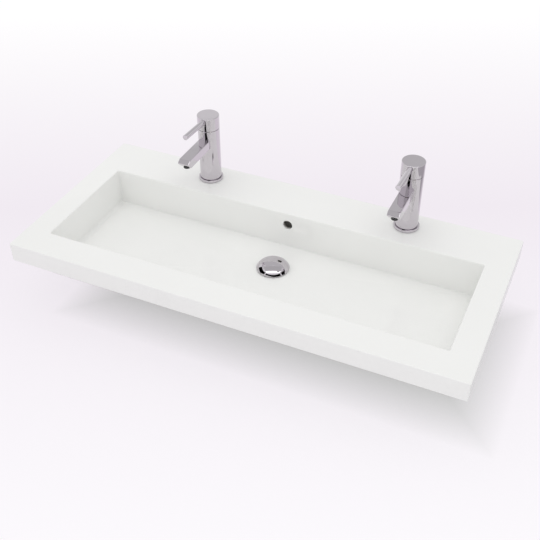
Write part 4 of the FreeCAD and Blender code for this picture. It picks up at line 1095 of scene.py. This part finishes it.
def make_waste_body(centre, tail, sizes):
    """The threaded body with its flange, its overflow slots and the bridge that holds the cartridge."""
    end, top = heights("waste_flange")
    flange = radius_of("waste_flange")
    flange_under = heights("waste_flange_seal")[1]
    nut_under = heights("waste_backnut")[0]
    bore = tail - sizes.tube_wall
    core = tail - sizes.thread_height
    body = turned("waste_threaded_body", rounded([
        (bore, end, TAIL_BORE_EDGE), (core, end, TAIL_EDGE), (core, nut_under, 0), (tail, nut_under, 0),
        (tail, flange_under, 0), (flange, flange_under, 0), (flange, top, FLANGE_EDGE),
        (bore, top, FLANGE_EDGE),
    ]), centre)
    slot_top = heights("basin_shell")[0] + SLOT_RISE
    slots = box_outline(-SLOT_HALF, SLOT_HALF, slot_top - SLOT_HEIGHT, slot_top)
    cut(body, drawn_out("overflow_slots", slots, centre.y - SLOT_REACH, centre.y + SLOT_REACH, along_y))
    under = heights("waste_cartridge")[0]
    over = under + BRIDGE_HEIGHT
    outline = box_outline(centre.y - BRIDGE_HALF, centre.y + BRIDGE_HALF, under, over)
    bridge = drawn_out("cartridge_bridge", outline, -bore - BORE_MARGIN, bore + BORE_MARGIN, along_x)
    combine(body, bridge, "UNION")
    hole = rod(CARTRIDGE_HOLE, under - BORE_MARGIN, over + BORE_MARGIN)
    cut(body, turned("cartridge_hole", hole, centre))
    start = end + THREAD_LEAD * sizes.thread_height
    turns = (nut_under - THREAD_RUNOUT - start) / sizes.thread_pitch
    grow(body, shared_tree("Screw Thread", thread_tree), "chrome", core_radius=core,
         ridge_height=sizes.thread_height, pitch=sizes.thread_pitch, turns=turns, steps=TAIL_THREAD_STEPS,
         start=(centre.x, centre.y, start))
    fit(body, "basin", "chrome", "waste_flange")


def make_tap_bodies():
    """Each tap's fixed pieces: foot ring, body, spout and the stream ring with its screen."""
    sizes = settings("basin_tap")
    for side in SIDES:
        centre = tap_axis(side)
        make_foot_ring(side, centre, sizes)
        make_pillar(side, centre, sizes)
        make_spout(side, centre, sizes)
        make_stream_ring(side, sizes)


def make_foot_ring(side, centre, sizes):
    """The ring that the body stands in."""
    node = f"{side}_tap_base_ring"
    low, high = heights(node)
    inner = sizes.neck_diameter / 2 + FIT_GAP
    outer = radius_of(node)
    profile = rounded([(inner, low, 0), (outer, low, FINE_EDGE), (outer, high, sizes.ring_edge),
                       (inner, high, FINE_EDGE)])
    fit(turned(f"{side}_tap_foot_ring", profile, centre), "basin", "chrome", node)


def body_radius(sizes):
    """The radius of a tap's body above its neck."""
    return sizes.neck_diameter / 2 + SHOULDER


def make_pillar(side, centre, sizes):
    """The body, open at the top for the cartridge and bored below for its hoses and stud."""
    node = f"{side}_tap_body"
    low, high = heights(node)
    radius = body_radius(sizes)
    neck = sizes.neck_diameter / 2
    shoulder = heights(f"{side}_tap_base_ring")[1] + sizes.neck_gap
    nut = radius_of(f"{side}_tap_cartridge_nut") + FIT_GAP
    nut_under = heights(f"{side}_tap_cartridge_nut")[0]
    seat = heights(f"{side}_tap_cartridge_base")[0]
    pillar = turned(f"{side}_tap_pillar", rounded([
        (0, low, 0), (neck, low, FINE_EDGE), (neck, shoulder, 0), (radius, shoulder, sizes.body_edge),
        (radius, high, sizes.body_edge), (nut, high, FINE_EDGE), (nut, nut_under, 0),
        (CHAMBER_RADIUS, nut_under, 0), (CHAMBER_RADIUS, seat, 0), (0, seat, 0),
    ]), centre)
    inlet = rod(INLET_RADIUS, low - BORE_MARGIN, low + INLET_DEPTH)
    for across, along in INLET_SPOTS:
        cut(pillar, turned("hose_inlet", inlet, centre + Vector((across, along, 0))))
    stud = centre + Vector((0, settings("basin_fixing").stud_setback, 0))
    stud_hole = rod(STUD_HOLE_RADIUS, low - BORE_MARGIN, low + STUD_HOLE_DEPTH)
    cut(pillar, turned("stud_hole", stud_hole, stud))
    fit(pillar, "basin", "chrome", node)


def make_spout(side, centre, sizes):
    """The flat spout, saddled against the body, with the stream ring's seat in its underside."""
    node = f"{side}_tap_spout"
    low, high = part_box(node)
    root = centre.y - SPOUT_ROOT
    outline = [
        (root, low.z), (centre.y - sizes.spout_chin, low.z),
        (centre.y - sizes.spout_lip, low.z + sizes.spout_chin_rise), (low.y, high.z - sizes.spout_nose_drop),
        (centre.y - sizes.spout_brow, high.z), (root, high.z),
    ]
    spout = drawn_out(f"{side}_tap_flat_spout", outline, low.x, high.x, along_x)
    break_edges(spout, sizes.spout_edge, SPOUT_EDGE_STEPS)
    saddle = rod(body_radius(sizes) + FIT_GAP, low.z - WIDE_MARGIN, high.z + WIDE_MARGIN)
    cut(spout, turned("saddle", saddle, centre))
    ring_node = f"{side}_tap_aerator_housing"
    seat_top = heights(f"{side}_tap_aerator_seal")[1]
    seat = rod(radius_of(ring_node) + SLIP_GAP, low.z - WIDE_MARGIN, seat_top)
    cut(spout, turned("stream_seat", seat, axis_of(ring_node)))
    fit(spout, "basin", "chrome", node)


def make_stream_ring(side, sizes):
    """The ring under the spout's tip and the pierced screen in it."""
    node = f"{side}_tap_aerator_housing"
    low, high = heights(node)
    centre = axis_of(node)
    screen_node = f"{side}_tap_aerator_insert"
    screen_low, screen_high = heights(screen_node)
    screen = radius_of(screen_node)
    lip = screen - SCREEN_LIP
    seat = screen + FIT_GAP
    stem = radius_of(node) - RIB_STAND
    stream_ring = turned(f"{side}_tap_stream_ring", rounded([
        (lip, low, FINE_EDGE), (stem, low, SMALL_EDGE), (stem, high, 0), (seat, high, 0),
        (seat, screen_low, 0), (lip, screen_low, 0),
    ]), centre)
    grow(stream_ring, shared_tree("Grip Ribs", grip_tree), "aerator_plastic", count=sizes.grip_count,
         radius=stem, rib_size=RIB_SIZE, centre=(centre.x, centre.y, low + SMALL_EDGE + RIB_SIZE[2] / 2))
    fit(stream_ring, "basin", "aerator_plastic", node)
    disc = turned(f"{side}_tap_stream_screen", rod(screen, screen_low, screen_high), centre)
    grow(disc, shared_tree("Stream Screen", screen_tree), "aerator_plastic", hole_width=sizes.screen_hole,
         pitch=sizes.screen_pitch, field_radius=screen - SCREEN_RIM, depth=PUNCH_DEPTH,
         centre=(centre.x, centre.y, (screen_low + screen_high) / 2))
    fit(disc, "basin", "aerator_plastic", screen_node)


def make_handles():
    """Each tap's handle: cover, lever and the index button over the grub screw."""
    sizes = settings("basin_tap")
    for side in SIDES:
        centre = tap_axis(side)
        make_cover(side, centre, sizes)
        make_lever(side, centre, sizes)
        make_button(side)


def lever_line(side, centre, sizes):
    """Where the lever's axis starts on the tap's axis, and its direction."""
    under = heights(f"{side}_tap_handle_cap")[0]
    start = centre + UP * (under + sizes.lever_height)
    return start, FORWARD * cos(sizes.lever_rise) + UP * sin(sizes.lever_rise)


def make_cover(side, centre, sizes):
    """The handle's cover, with its lever hole, its screw hole and the relief that lets it tilt."""
    node = f"{side}_tap_handle_cap"
    low, high = heights(node)
    radius = radius_of(node)
    skirt = radius - sizes.skirt_wall
    roof = low + sizes.skirt_depth
    cover = turned(f"{side}_tap_cover", rounded([
        (skirt, low, SMALL_EDGE), (radius, low, sizes.skirt_edge), (radius, high, sizes.cap_edge),
        (0, high, 0), (0, roof, 0), (skirt, roof, 0),
    ]), centre)
    joint = next(j for j in frame["joints"] if j["name"] == f"{side}_flow")
    pivot = Vector(joint["pos_m"])
    back = centre.y + radius + CUT_MARGIN
    rise = (back - pivot.y) * tan(sizes.lift + sizes.lift_margin)
    cut(cover, drawn_out("tilt_relief", [
        (pivot.y, low - CUT_MARGIN), (back, low - CUT_MARGIN), (back, pivot.z + rise), (pivot.y, pivot.z),
    ], centre.x - 2 * radius, centre.x + 2 * radius, along_x))
    start, direction = lever_line(side, centre, sizes)
    for bore, bottom in ((sizes.tenon_diameter, sizes.lever_seat - sizes.tenon_length),
                         (sizes.lever_diameter, sizes.lever_seat)):
        cut(cover, turned("lever_hole", rod(bore / 2 + LEVER_GAP, bottom, HOLE_REACH), start, direction))
    plug_node = f"{side}_tap_index_plug"
    plug_level = sum(heights(plug_node)) / 2
    screw_hole = rod(radius_of(plug_node) + BUTTON_GAP, STEM_HALF, HOLE_REACH)
    cut(cover, turned("screw_hole", screw_hole, (centre.x, centre.y, plug_level), BACKWARD))
    socket = box_outline(centre.x - STEM_HALF, centre.x + STEM_HALF, centre.y - STEM_HALF,
                         centre.y + STEM_HALF)
    cut(cover, drawn_out("stem_socket", socket, roof - SMALL_MARGIN, roof + STEM_DEPTH, along_z))
    fit(cover, f"{side}_handle", "chrome", node)


def make_lever(side, centre, sizes):
    """The pin lever with its tenon."""
    start, direction = lever_line(side, centre, sizes)
    seat = sizes.lever_seat
    root = seat - sizes.tenon_length
    tenon = sizes.tenon_diameter / 2
    radius = sizes.lever_diameter / 2
    lever = turned(f"{side}_tap_pin_lever", rounded([
        (0, root, 0), (tenon, root, SMALL_EDGE), (tenon, seat, 0), (radius, seat, FINE_EDGE),
        (radius, sizes.lever_reach, sizes.lever_edge), (0, sizes.lever_reach, 0),
    ]), start, direction)
    fit(lever, f"{side}_handle", "chrome", f"{side}_tap_lever")


def make_button(side):
    """The button that closes the screw's hole at the back of the cover."""
    node = f"{side}_tap_index_plug"
    low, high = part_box(node)
    radius = radius_of(node)
    deep = high.y - low.y
    button = turned(f"{side}_tap_index_button", rounded([
        (0, 0, 0), (radius, 0, BUTTON_FOOT_EDGE), (radius, deep - BUTTON_CROWN, BUTTON_EDGE), (0, deep, 0),
    ]), ((low.x + high.x) / 2, low.y, (low.z + high.z) / 2), BACKWARD)
    fit(button, f"{side}_handle", "chrome", node)


def make_fixings():
    """Each tap's fixings under the deck: threaded stud, gasket, clamp plate and nut."""
    sizes = settings("basin_fixing")
    for side in SIDES:
        centre = tap_axis(side)
        stud_axis = centre + Vector((0, sizes.stud_setback, 0))
        make_stud(side, stud_axis, sizes)
        for part, name, slot in CLAMPS:
            make_horseshoe(side, part, name, slot, centre, stud_axis, sizes)
        node = f"{side}_tap_mounting_nut"
        half = sizes.nut_flats / 2
        nut = hexagon_nut(f"{side}_tap_clamp_nut", node, stud_axis, sizes.nut_flats,
                          sizes.stud_diameter / 2 + FIT_GAP, half - CLAMP_NUT_EASE,
                          half / cos(pi / 6) + CLAMP_NUT_EASE, CLAMP_NUT_CHAMFER)
        break_edges(nut, sizes.edge / 2, FIXING_EDGE_STEPS)
        fit(nut, "basin", "brass", node)


def make_stud(side, stud_axis, sizes):
    """The threaded stud that hangs from the body."""
    node = f"{side}_tap_mounting_stud"
    low, high = heights(node)
    core = sizes.stud_diameter / 2 - sizes.stud_thread_height
    stud = turned(f"{side}_tap_threaded_stud", rounded([
        (0, low, 0), (core - STUD_POINT, low, 0), (core, low + STUD_POINT_HEIGHT, 0), (core, high, 0),
        (0, high, 0),
    ]), stud_axis, steps=STUD_STEPS)
    turns = (high - low - 2 * STUD_RUNOUT) / sizes.stud_pitch
    grow(stud, shared_tree("Screw Thread", thread_tree), "steel", core_radius=core,
         ridge_height=sizes.stud_thread_height, pitch=sizes.stud_pitch, turns=turns, steps=STUD_THREAD_STEPS,
         start=(stud_axis.x, stud_axis.y, low + STUD_RUNOUT))
    fit(stud, "basin", "steel", node)


def make_horseshoe(side, part, name, slot, centre, stud_axis, sizes):
    """A horseshoe of the clamp, slotted for the hoses and bored for the stud."""
    node = f"{side}_tap_{part}"
    low, high = heights(node)
    under, over = low - SMALL_MARGIN, high + SMALL_MARGIN
    plate = turned(f"{side}_tap_{name}", rod(radius_of(node), low, high), centre)
    half = sizes.slot_width / 2
    opening = box_outline(centre.x - half, centre.x + half, centre.y - SLOT_OPEN, centre.y + sizes.slot_end)
    cut(plate, drawn_out("slot", opening, under, over, along_z))
    cut(plate, turned("stud_hole", rod(sizes.stud_diameter / 2 + FIT_GAP, under, over), stud_axis))
    break_edges(plate, sizes.edge, FIXING_EDGE_STEPS)
    fit(plate, "basin", slot, node)


def paint_inner_nodes():
    """Gives every node of the frame the finish of its slot in the record."""
    for part in frame["record"]["subparts"]:
        for place in frame["nodes"][part["node"]].material_slots:
            place.material = finish(part["material_slot"])


def make_stage():
    """The floor, the light, the cards that the chrome reflects, and the camera."""
    stage = settings("basin_stage")
    bpy.context.scene.view_settings.view_transform = "Standard"
    make_floor(stage)
    make_sky(stage)
    make_key(stage)
    make_cards(stage)
    make_camera(stage)


def make_camera(stage):
    """The camera, at the angle of the reference view."""
    camera = bpy.data.cameras.new("Camera")
    camera.lens = stage.lens
    camera.sensor_width = SENSOR_WIDTH
    camera.clip_end = SIGHT_END
    holder = new_object("Camera", camera)
    eye, aim = Vector(stage.eye), Vector(stage.aim)
    facing = (aim - eye).to_track_quat("-Z", "Y").to_matrix().to_4x4()
    holder.matrix_world = Matrix.Translation(eye) @ facing @ Matrix.Rotation(stage.roll, 4, "Z")
    bpy.context.scene.camera = holder


def stage_card(name, shape):
    """An object of the stage that holds the shape as it is."""
    card = mesh_object(name, shape)
    return card


def flat_card(name, corners):
    """A flat card of the stage through four corners."""
    shape = bmesh.new()
    shape.faces.new([shape.verts.new(corner) for corner in corners])
    return stage_card(name, shape)


def curved_card(name, distance, azimuths, elevations):
    """A card on a sphere round the origin, between two azimuths from the front and two elevations."""
    shape = bmesh.new()
    rows = []
    for rise in range(CARD_STEPS + 1):
        elevation = radians(elevations[0] + (elevations[1] - elevations[0]) * rise / CARD_STEPS)
        row = []
        for step in range(CARD_STEPS + 1):
            azimuth = radians(azimuths[0] + (azimuths[1] - azimuths[0]) * step / CARD_STEPS)
            way = Vector((cos(elevation) * sin(azimuth), -cos(elevation) * cos(azimuth), sin(elevation)))
            row.append(shape.verts.new(way * distance))
        rows.append(row)
    for row, above in zip(rows, rows[1:]):
        for here in range(CARD_STEPS):
            shape.faces.new((row[here], above[here], above[here + 1], row[here + 1]))
    return stage_card(name, shape)


def scaled(tree, vector, factor):
    """A vector or colour times a factor."""
    node = add_node(tree, "ShaderNodeVectorMath", {0: vector, "Scale": factor}, operation="SCALE")
    return node.outputs["Vector"]


def make_floor(stage):
    """A wide pale floor under the part, darker on the right in what the chrome reflects: a painted shade that only
    gloss shows.
    """
    half = stage.floor_size / 2
    level = cad_box[0][2] - stage.floor_gap
    corners = [(across, along, level) for across, along in box_outline(-half, half, -half, half)]
    floor = flat_card("stage_floor", corners)
    tree, shader = start_material(FLOOR_FINISH, roughness=FLOOR_ROUGHNESS, specular_ior_level=0.0)
    place = own_place(tree)
    path = add_node(tree, "ShaderNodeLightPath").outputs
    # Painted shade: right of the part, glossy rays see the floor's colour darkened.
    right_start, right_end = (cad_box[1][0] + offset for offset in RIGHT_SHADE_RANGE)
    darker = spread(tree, parts_of(tree, place)["X"], 1.0, stage.reflected_right_shade, right_start, right_end)
    unmirrored = calc(tree, "SUBTRACT", 1.0, path["Is Glossy Ray"])
    tint = scaled(tree, floor_colour(tree, place, half, stage), calc(tree, "MAXIMUM", unmirrored, darker))
    tree.links.new(tint, shader.inputs["Base Color"])
    glow = add_node(tree, "ShaderNodeEmission", {"Color": tint}, {"Strength": stage.floor_strength})
    mirrored = calc(tree, "MAXIMUM", path["Is Glossy Ray"], path["Is Transmission Ray"])
    seen = calc(tree, "MAXIMUM", path["Is Camera Ray"], mirrored)
    mix = add_node(tree, "ShaderNodeMixShader", {
        "Fac": calc(tree, "MULTIPLY", seen, stage.floor_glow),
        1: shader.outputs["BSDF"], 2: glow.outputs["Emission"],
    })
    tree.links.new(mix.outputs["Shader"], tree.nodes["Material Output"].inputs["Surface"])
    material = bpy.data.materials[FLOOR_FINISH]
    material.cycles.emission_sampling = "NONE"
    floor.data.materials.append(material)


def floor_colour(tree, place, half, stage):
    """The floor's colour: a ramp from front to back, with a painted shade under the part, and faded far away."""
    mapped = add_node(tree, "ShaderNodeMapping", {"Vector": place}, {"Rotation": (0, 0, FLOOR_TURN)})
    along = parts_of(tree, mapped.outputs["Vector"])["Y"]
    ramp = add_node(tree, "ShaderNodeValToRGB", {"Fac": spread(tree, along, 0.0, 1.0, *FLOOR_RANGE)})
    stops = ramp.color_ramp.elements
    stops[0].color = (*stage.floor_near, 1.0)
    stops[1].color = (*stage.floor_far, 1.0)
    stops.new(FLOOR_MIDDLE_STOP).color = (*stage.floor_middle, 1.0)
    shaded = add_node(tree, "ShaderNodeVectorMath",
                      {0: ramp.outputs["Color"], 1: painted_floor_shade(tree, place, stage)}, operation="MULTIPLY")
    away = add_node(tree, "ShaderNodeVectorMath", {0: place}, operation="LENGTH").outputs["Value"]
    fade = spread(tree, away, 1.0, stage.floor_end, half / 2, half)
    return scaled(tree, shaded.outputs["Vector"], fade)


def painted_floor_shade(tree, place, stage):
    """The painted shade on the floor's colour, deepest under the middle of the part and gone before its edge."""
    parts = parts_of(tree, place)
    outside = []
    for label, shift, low, high in zip("XY", (stage.painted_shade_shift, 0.0), *cad_box):
        offset = calc(tree, "SUBTRACT", parts[label], (low + high) / 2 + shift)
        outside.append(calc(tree, "SUBTRACT", calc(tree, "ABSOLUTE", offset, 0), (high - low) / 2))
    reach = calc(tree, "MAXIMUM", *outside)
    return mixed_colour(tree, spread(tree, reach, 0.0, 1.0, -PAINTED_SHADE_FADE, 0.0), stage.painted_floor_shade, WHITE)


def make_sky(stage):
    """A white light from all round, a little weaker from the right."""
    world = bpy.data.worlds.new("Stage sky")
    world.use_nodes = True
    bpy.context.scene.world = world
    tree = world.node_tree
    light = tree.nodes["Background"]
    light.inputs["Color"].default_value = SKY_TINT
    way = add_node(tree, "ShaderNodeTexCoord").outputs["Generated"]
    tree.links.new(sky_level(tree, way, stage), light.inputs["Strength"])


def sky_level(tree, way, stage, distance=1.0):
    """The sky's strength in a direction, which is given by a place at that distance."""
    faint = stage.sky * (1 - stage.right_fall)
    return spread(tree, parts_of(tree, way)["X"], stage.sky, faint, 0.0, SKY_FALL_END * distance)


def make_key(stage):
    """A soft panel overhead."""
    lamp = bpy.data.lights.new("Overhead panel", "AREA")
    lamp.shape = "RECTANGLE"
    lamp.size, lamp.size_y = KEY_SIZE
    lamp.energy = stage.key
    holder = new_object("Overhead panel", lamp)
    holder.location = KEY_PLACE
    holder.visible_glossy = False


def make_cards(stage):
    """Curved cards round the part, and flat ones over it and over its spouts, which only gloss shows."""
    for name, azimuths, elevations, brightness in GREY_CARDS:
        card = curved_card(f"stage_{name}_card", stage.card_distance, azimuths, elevations)
        reflected_only(card, brightness, stage.sky)
    for name, azimuths, elevations, pieces in DARK_CARDS:
        card = curved_card(f"stage_{name}_card", stage.card_distance, azimuths, elevations)
        dark_to(card, pieces, stage)
    half = stage.panel_width / 2
    turn = Matrix.Rotation(stage.panel_turn, 3, "Z")
    for name, front, back, brightness in (
            ("panel", stage.panel_front, stage.panel_back, stage.panel_strength),
            ("ceiling", stage.panel_back, stage.ceiling_back, stage.ceiling_strength)):
        corners = [waste_axis() + turn @ Vector((across, along, stage.panel_height))
                   for across, along in box_outline(-half, half, -front, -back)]
        reflected_only(flat_card(f"stage_{name}_card", corners), brightness, stage.sky)
    wide, deep = stage.flag_width / 2, stage.flag_depth / 2
    for side in SIDES:
        low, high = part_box(f"{side}_tap_spout")
        middle = Vector(((low.x + high.x) / 2, low.y, high.z)) + Vector(stage.flag_offset)
        corners = [middle + Vector((across, along, 0))
                   for across, along in box_outline(-wide, wide, -deep, deep)]
        reflected_only(flat_card(f"stage_{side}_flag_card", corners), stage.flag_strength, stage.sky)


def reflected_only(card, brightness, beyond):
    """Makes a card glow in mirrors; light that was scattered first meets the sky's level there."""
    tree, glow = glowing(card)
    scattered = add_node(tree, "ShaderNodeLightPath").outputs["Diffuse Depth"]
    tree.links.new(spread(tree, scattered, brightness, beyond, 0.0, 1.0), glow.inputs["Strength"])


def dark_to(card, pieces, stage):
    """Makes a card that looks like the sky behind it, but black in the gloss of the named pieces."""
    tree, glow = glowing(card)
    glow.inputs["Color"].default_value = SKY_TINT
    tree.links.new(sky_level(tree, own_place(tree), stage, stage.card_distance), glow.inputs["Strength"])
    unlit = bpy.data.collections.new(f"Unlit by {card.name}")
    for piece in pieces:
        unlit.objects.link(bpy.data.objects[piece])
    for member in unlit.collection_objects:
        member.light_linking.link_state = "EXCLUDE"
    card.light_linking.receiver_collection = unlit


def glowing(card):
    """Gives a card a glow that only mirrored sight of it meets, and returns the tree and the glow."""
    material = bpy.data.materials.new(card.name)
    material.use_nodes = True
    material.cycles.emission_sampling = "NONE"
    card.data.materials.append(material)
    tree = material.node_tree
    tree.nodes.remove(tree.nodes["Principled BSDF"])
    glow = add_node(tree, "ShaderNodeEmission")
    tree.links.new(glow.outputs["Emission"], tree.nodes["Material Output"].inputs["Surface"])
    card.visible_camera = False
    card.visible_diffuse = False
    card.visible_shadow = False
    card.visible_transmission = False
    return tree, glow


class BASIN_OT_finishes(bpy.types.Operator):
    """Make the finishes and paint the nodes of the frame with them"""
    bl_idname = "basin.finishes"
    bl_label = "Finishes"

    def execute(self, context):
        make_finishes(settings("basin_finish"))
        paint_inner_nodes()
        return {"FINISHED"}


class BASIN_OT_casting(bpy.types.Operator):
    """Build the white casting with its bowl, overflow and tap holes"""
    bl_idname = "basin.casting"
    bl_label = "Casting"

    def execute(self, context):
        make_casting()
        return {"FINISHED"}


class BASIN_OT_waste(bpy.types.Operator):
    """Build the waste's cover, threaded body, washers and locking nut"""
    bl_idname = "basin.waste"
    bl_label = "Waste"

    def execute(self, context):
        make_waste()
        return {"FINISHED"}


class BASIN_OT_tap_bodies(bpy.types.Operator):
    """Build the taps' foot rings, bodies, spouts and stream rings"""
    bl_idname = "basin.tap_bodies"
    bl_label = "Tap Bodies"

    def execute(self, context):
        make_tap_bodies()
        return {"FINISHED"}


class BASIN_OT_handles(bpy.types.Operator):
    """Build the taps' covers, levers and index buttons"""
    bl_idname = "basin.handles"
    bl_label = "Handles"

    def execute(self, context):
        make_handles()
        return {"FINISHED"}


class BASIN_OT_fixings(bpy.types.Operator):
    """Build the studs, clamps and nuts under the deck"""
    bl_idname = "basin.fixings"
    bl_label = "Fixings"

    def execute(self, context):
        make_fixings()
        return {"FINISHED"}


class BASIN_OT_stage(bpy.types.Operator):
    """Set up the floor, the light and the camera"""
    bl_idname = "basin.stage"
    bl_label = "Stage"

    def execute(self, context):
        make_stage()
        return {"FINISHED"}


class BASIN_PT_sidebar(bpy.types.Panel):
    """The steps and sizes of the basin"""
    bl_idname = "BASIN_PT_sidebar"
    bl_label = "Vanity Basin"
    bl_space_type = "VIEW_3D"
    bl_region_type = "UI"
    bl_category = "Basin"

    def draw(self, context):
        for operator in OPERATORS:
            self.layout.operator(operator.bl_idname)
        for name, group in SETTINGS.items():
            column = self.layout.column(align=True)
            column.label(text=group.__doc__)
            for prop in group.__annotations__:
                column.prop(getattr(context.scene, name), prop)


OPERATORS = (BASIN_OT_finishes, BASIN_OT_casting, BASIN_OT_waste, BASIN_OT_tap_bodies, BASIN_OT_handles,
             BASIN_OT_fixings, BASIN_OT_stage)
SETTINGS = {
    "basin_casting": CastingSettings,
    "basin_waste": WasteSettings,
    "basin_tap": TapSettings,
    "basin_fixing": FixingSettings,
    "basin_finish": FinishSettings,
    "basin_stage": StageSettings,
}


def register():
    """Registers the settings, the operators and the panel."""
    for name, group in SETTINGS.items():
        bpy.utils.register_class(group)
        setattr(bpy.types.Scene, name, PointerProperty(type=group))
    for operator in OPERATORS:
        bpy.utils.register_class(operator)
    bpy.utils.register_class(BASIN_PT_sidebar)


def unregister():
    """Takes the panel, the operators and the settings away again."""
    bpy.utils.unregister_class(BASIN_PT_sidebar)
    for operator in reversed(OPERATORS):
        bpy.utils.unregister_class(operator)
    for name, group in reversed(SETTINGS.items()):
        delattr(bpy.types.Scene, name)
        bpy.utils.unregister_class(group)


def main():
    """Builds every piece in order."""
    register()
    bpy.ops.basin.finishes()
    bpy.ops.basin.casting()
    bpy.ops.basin.waste()
    bpy.ops.basin.tap_bodies()
    bpy.ops.basin.handles()
    bpy.ops.basin.fixings()
    bpy.ops.basin.stage()


if __name__ == "__main__":
    main()
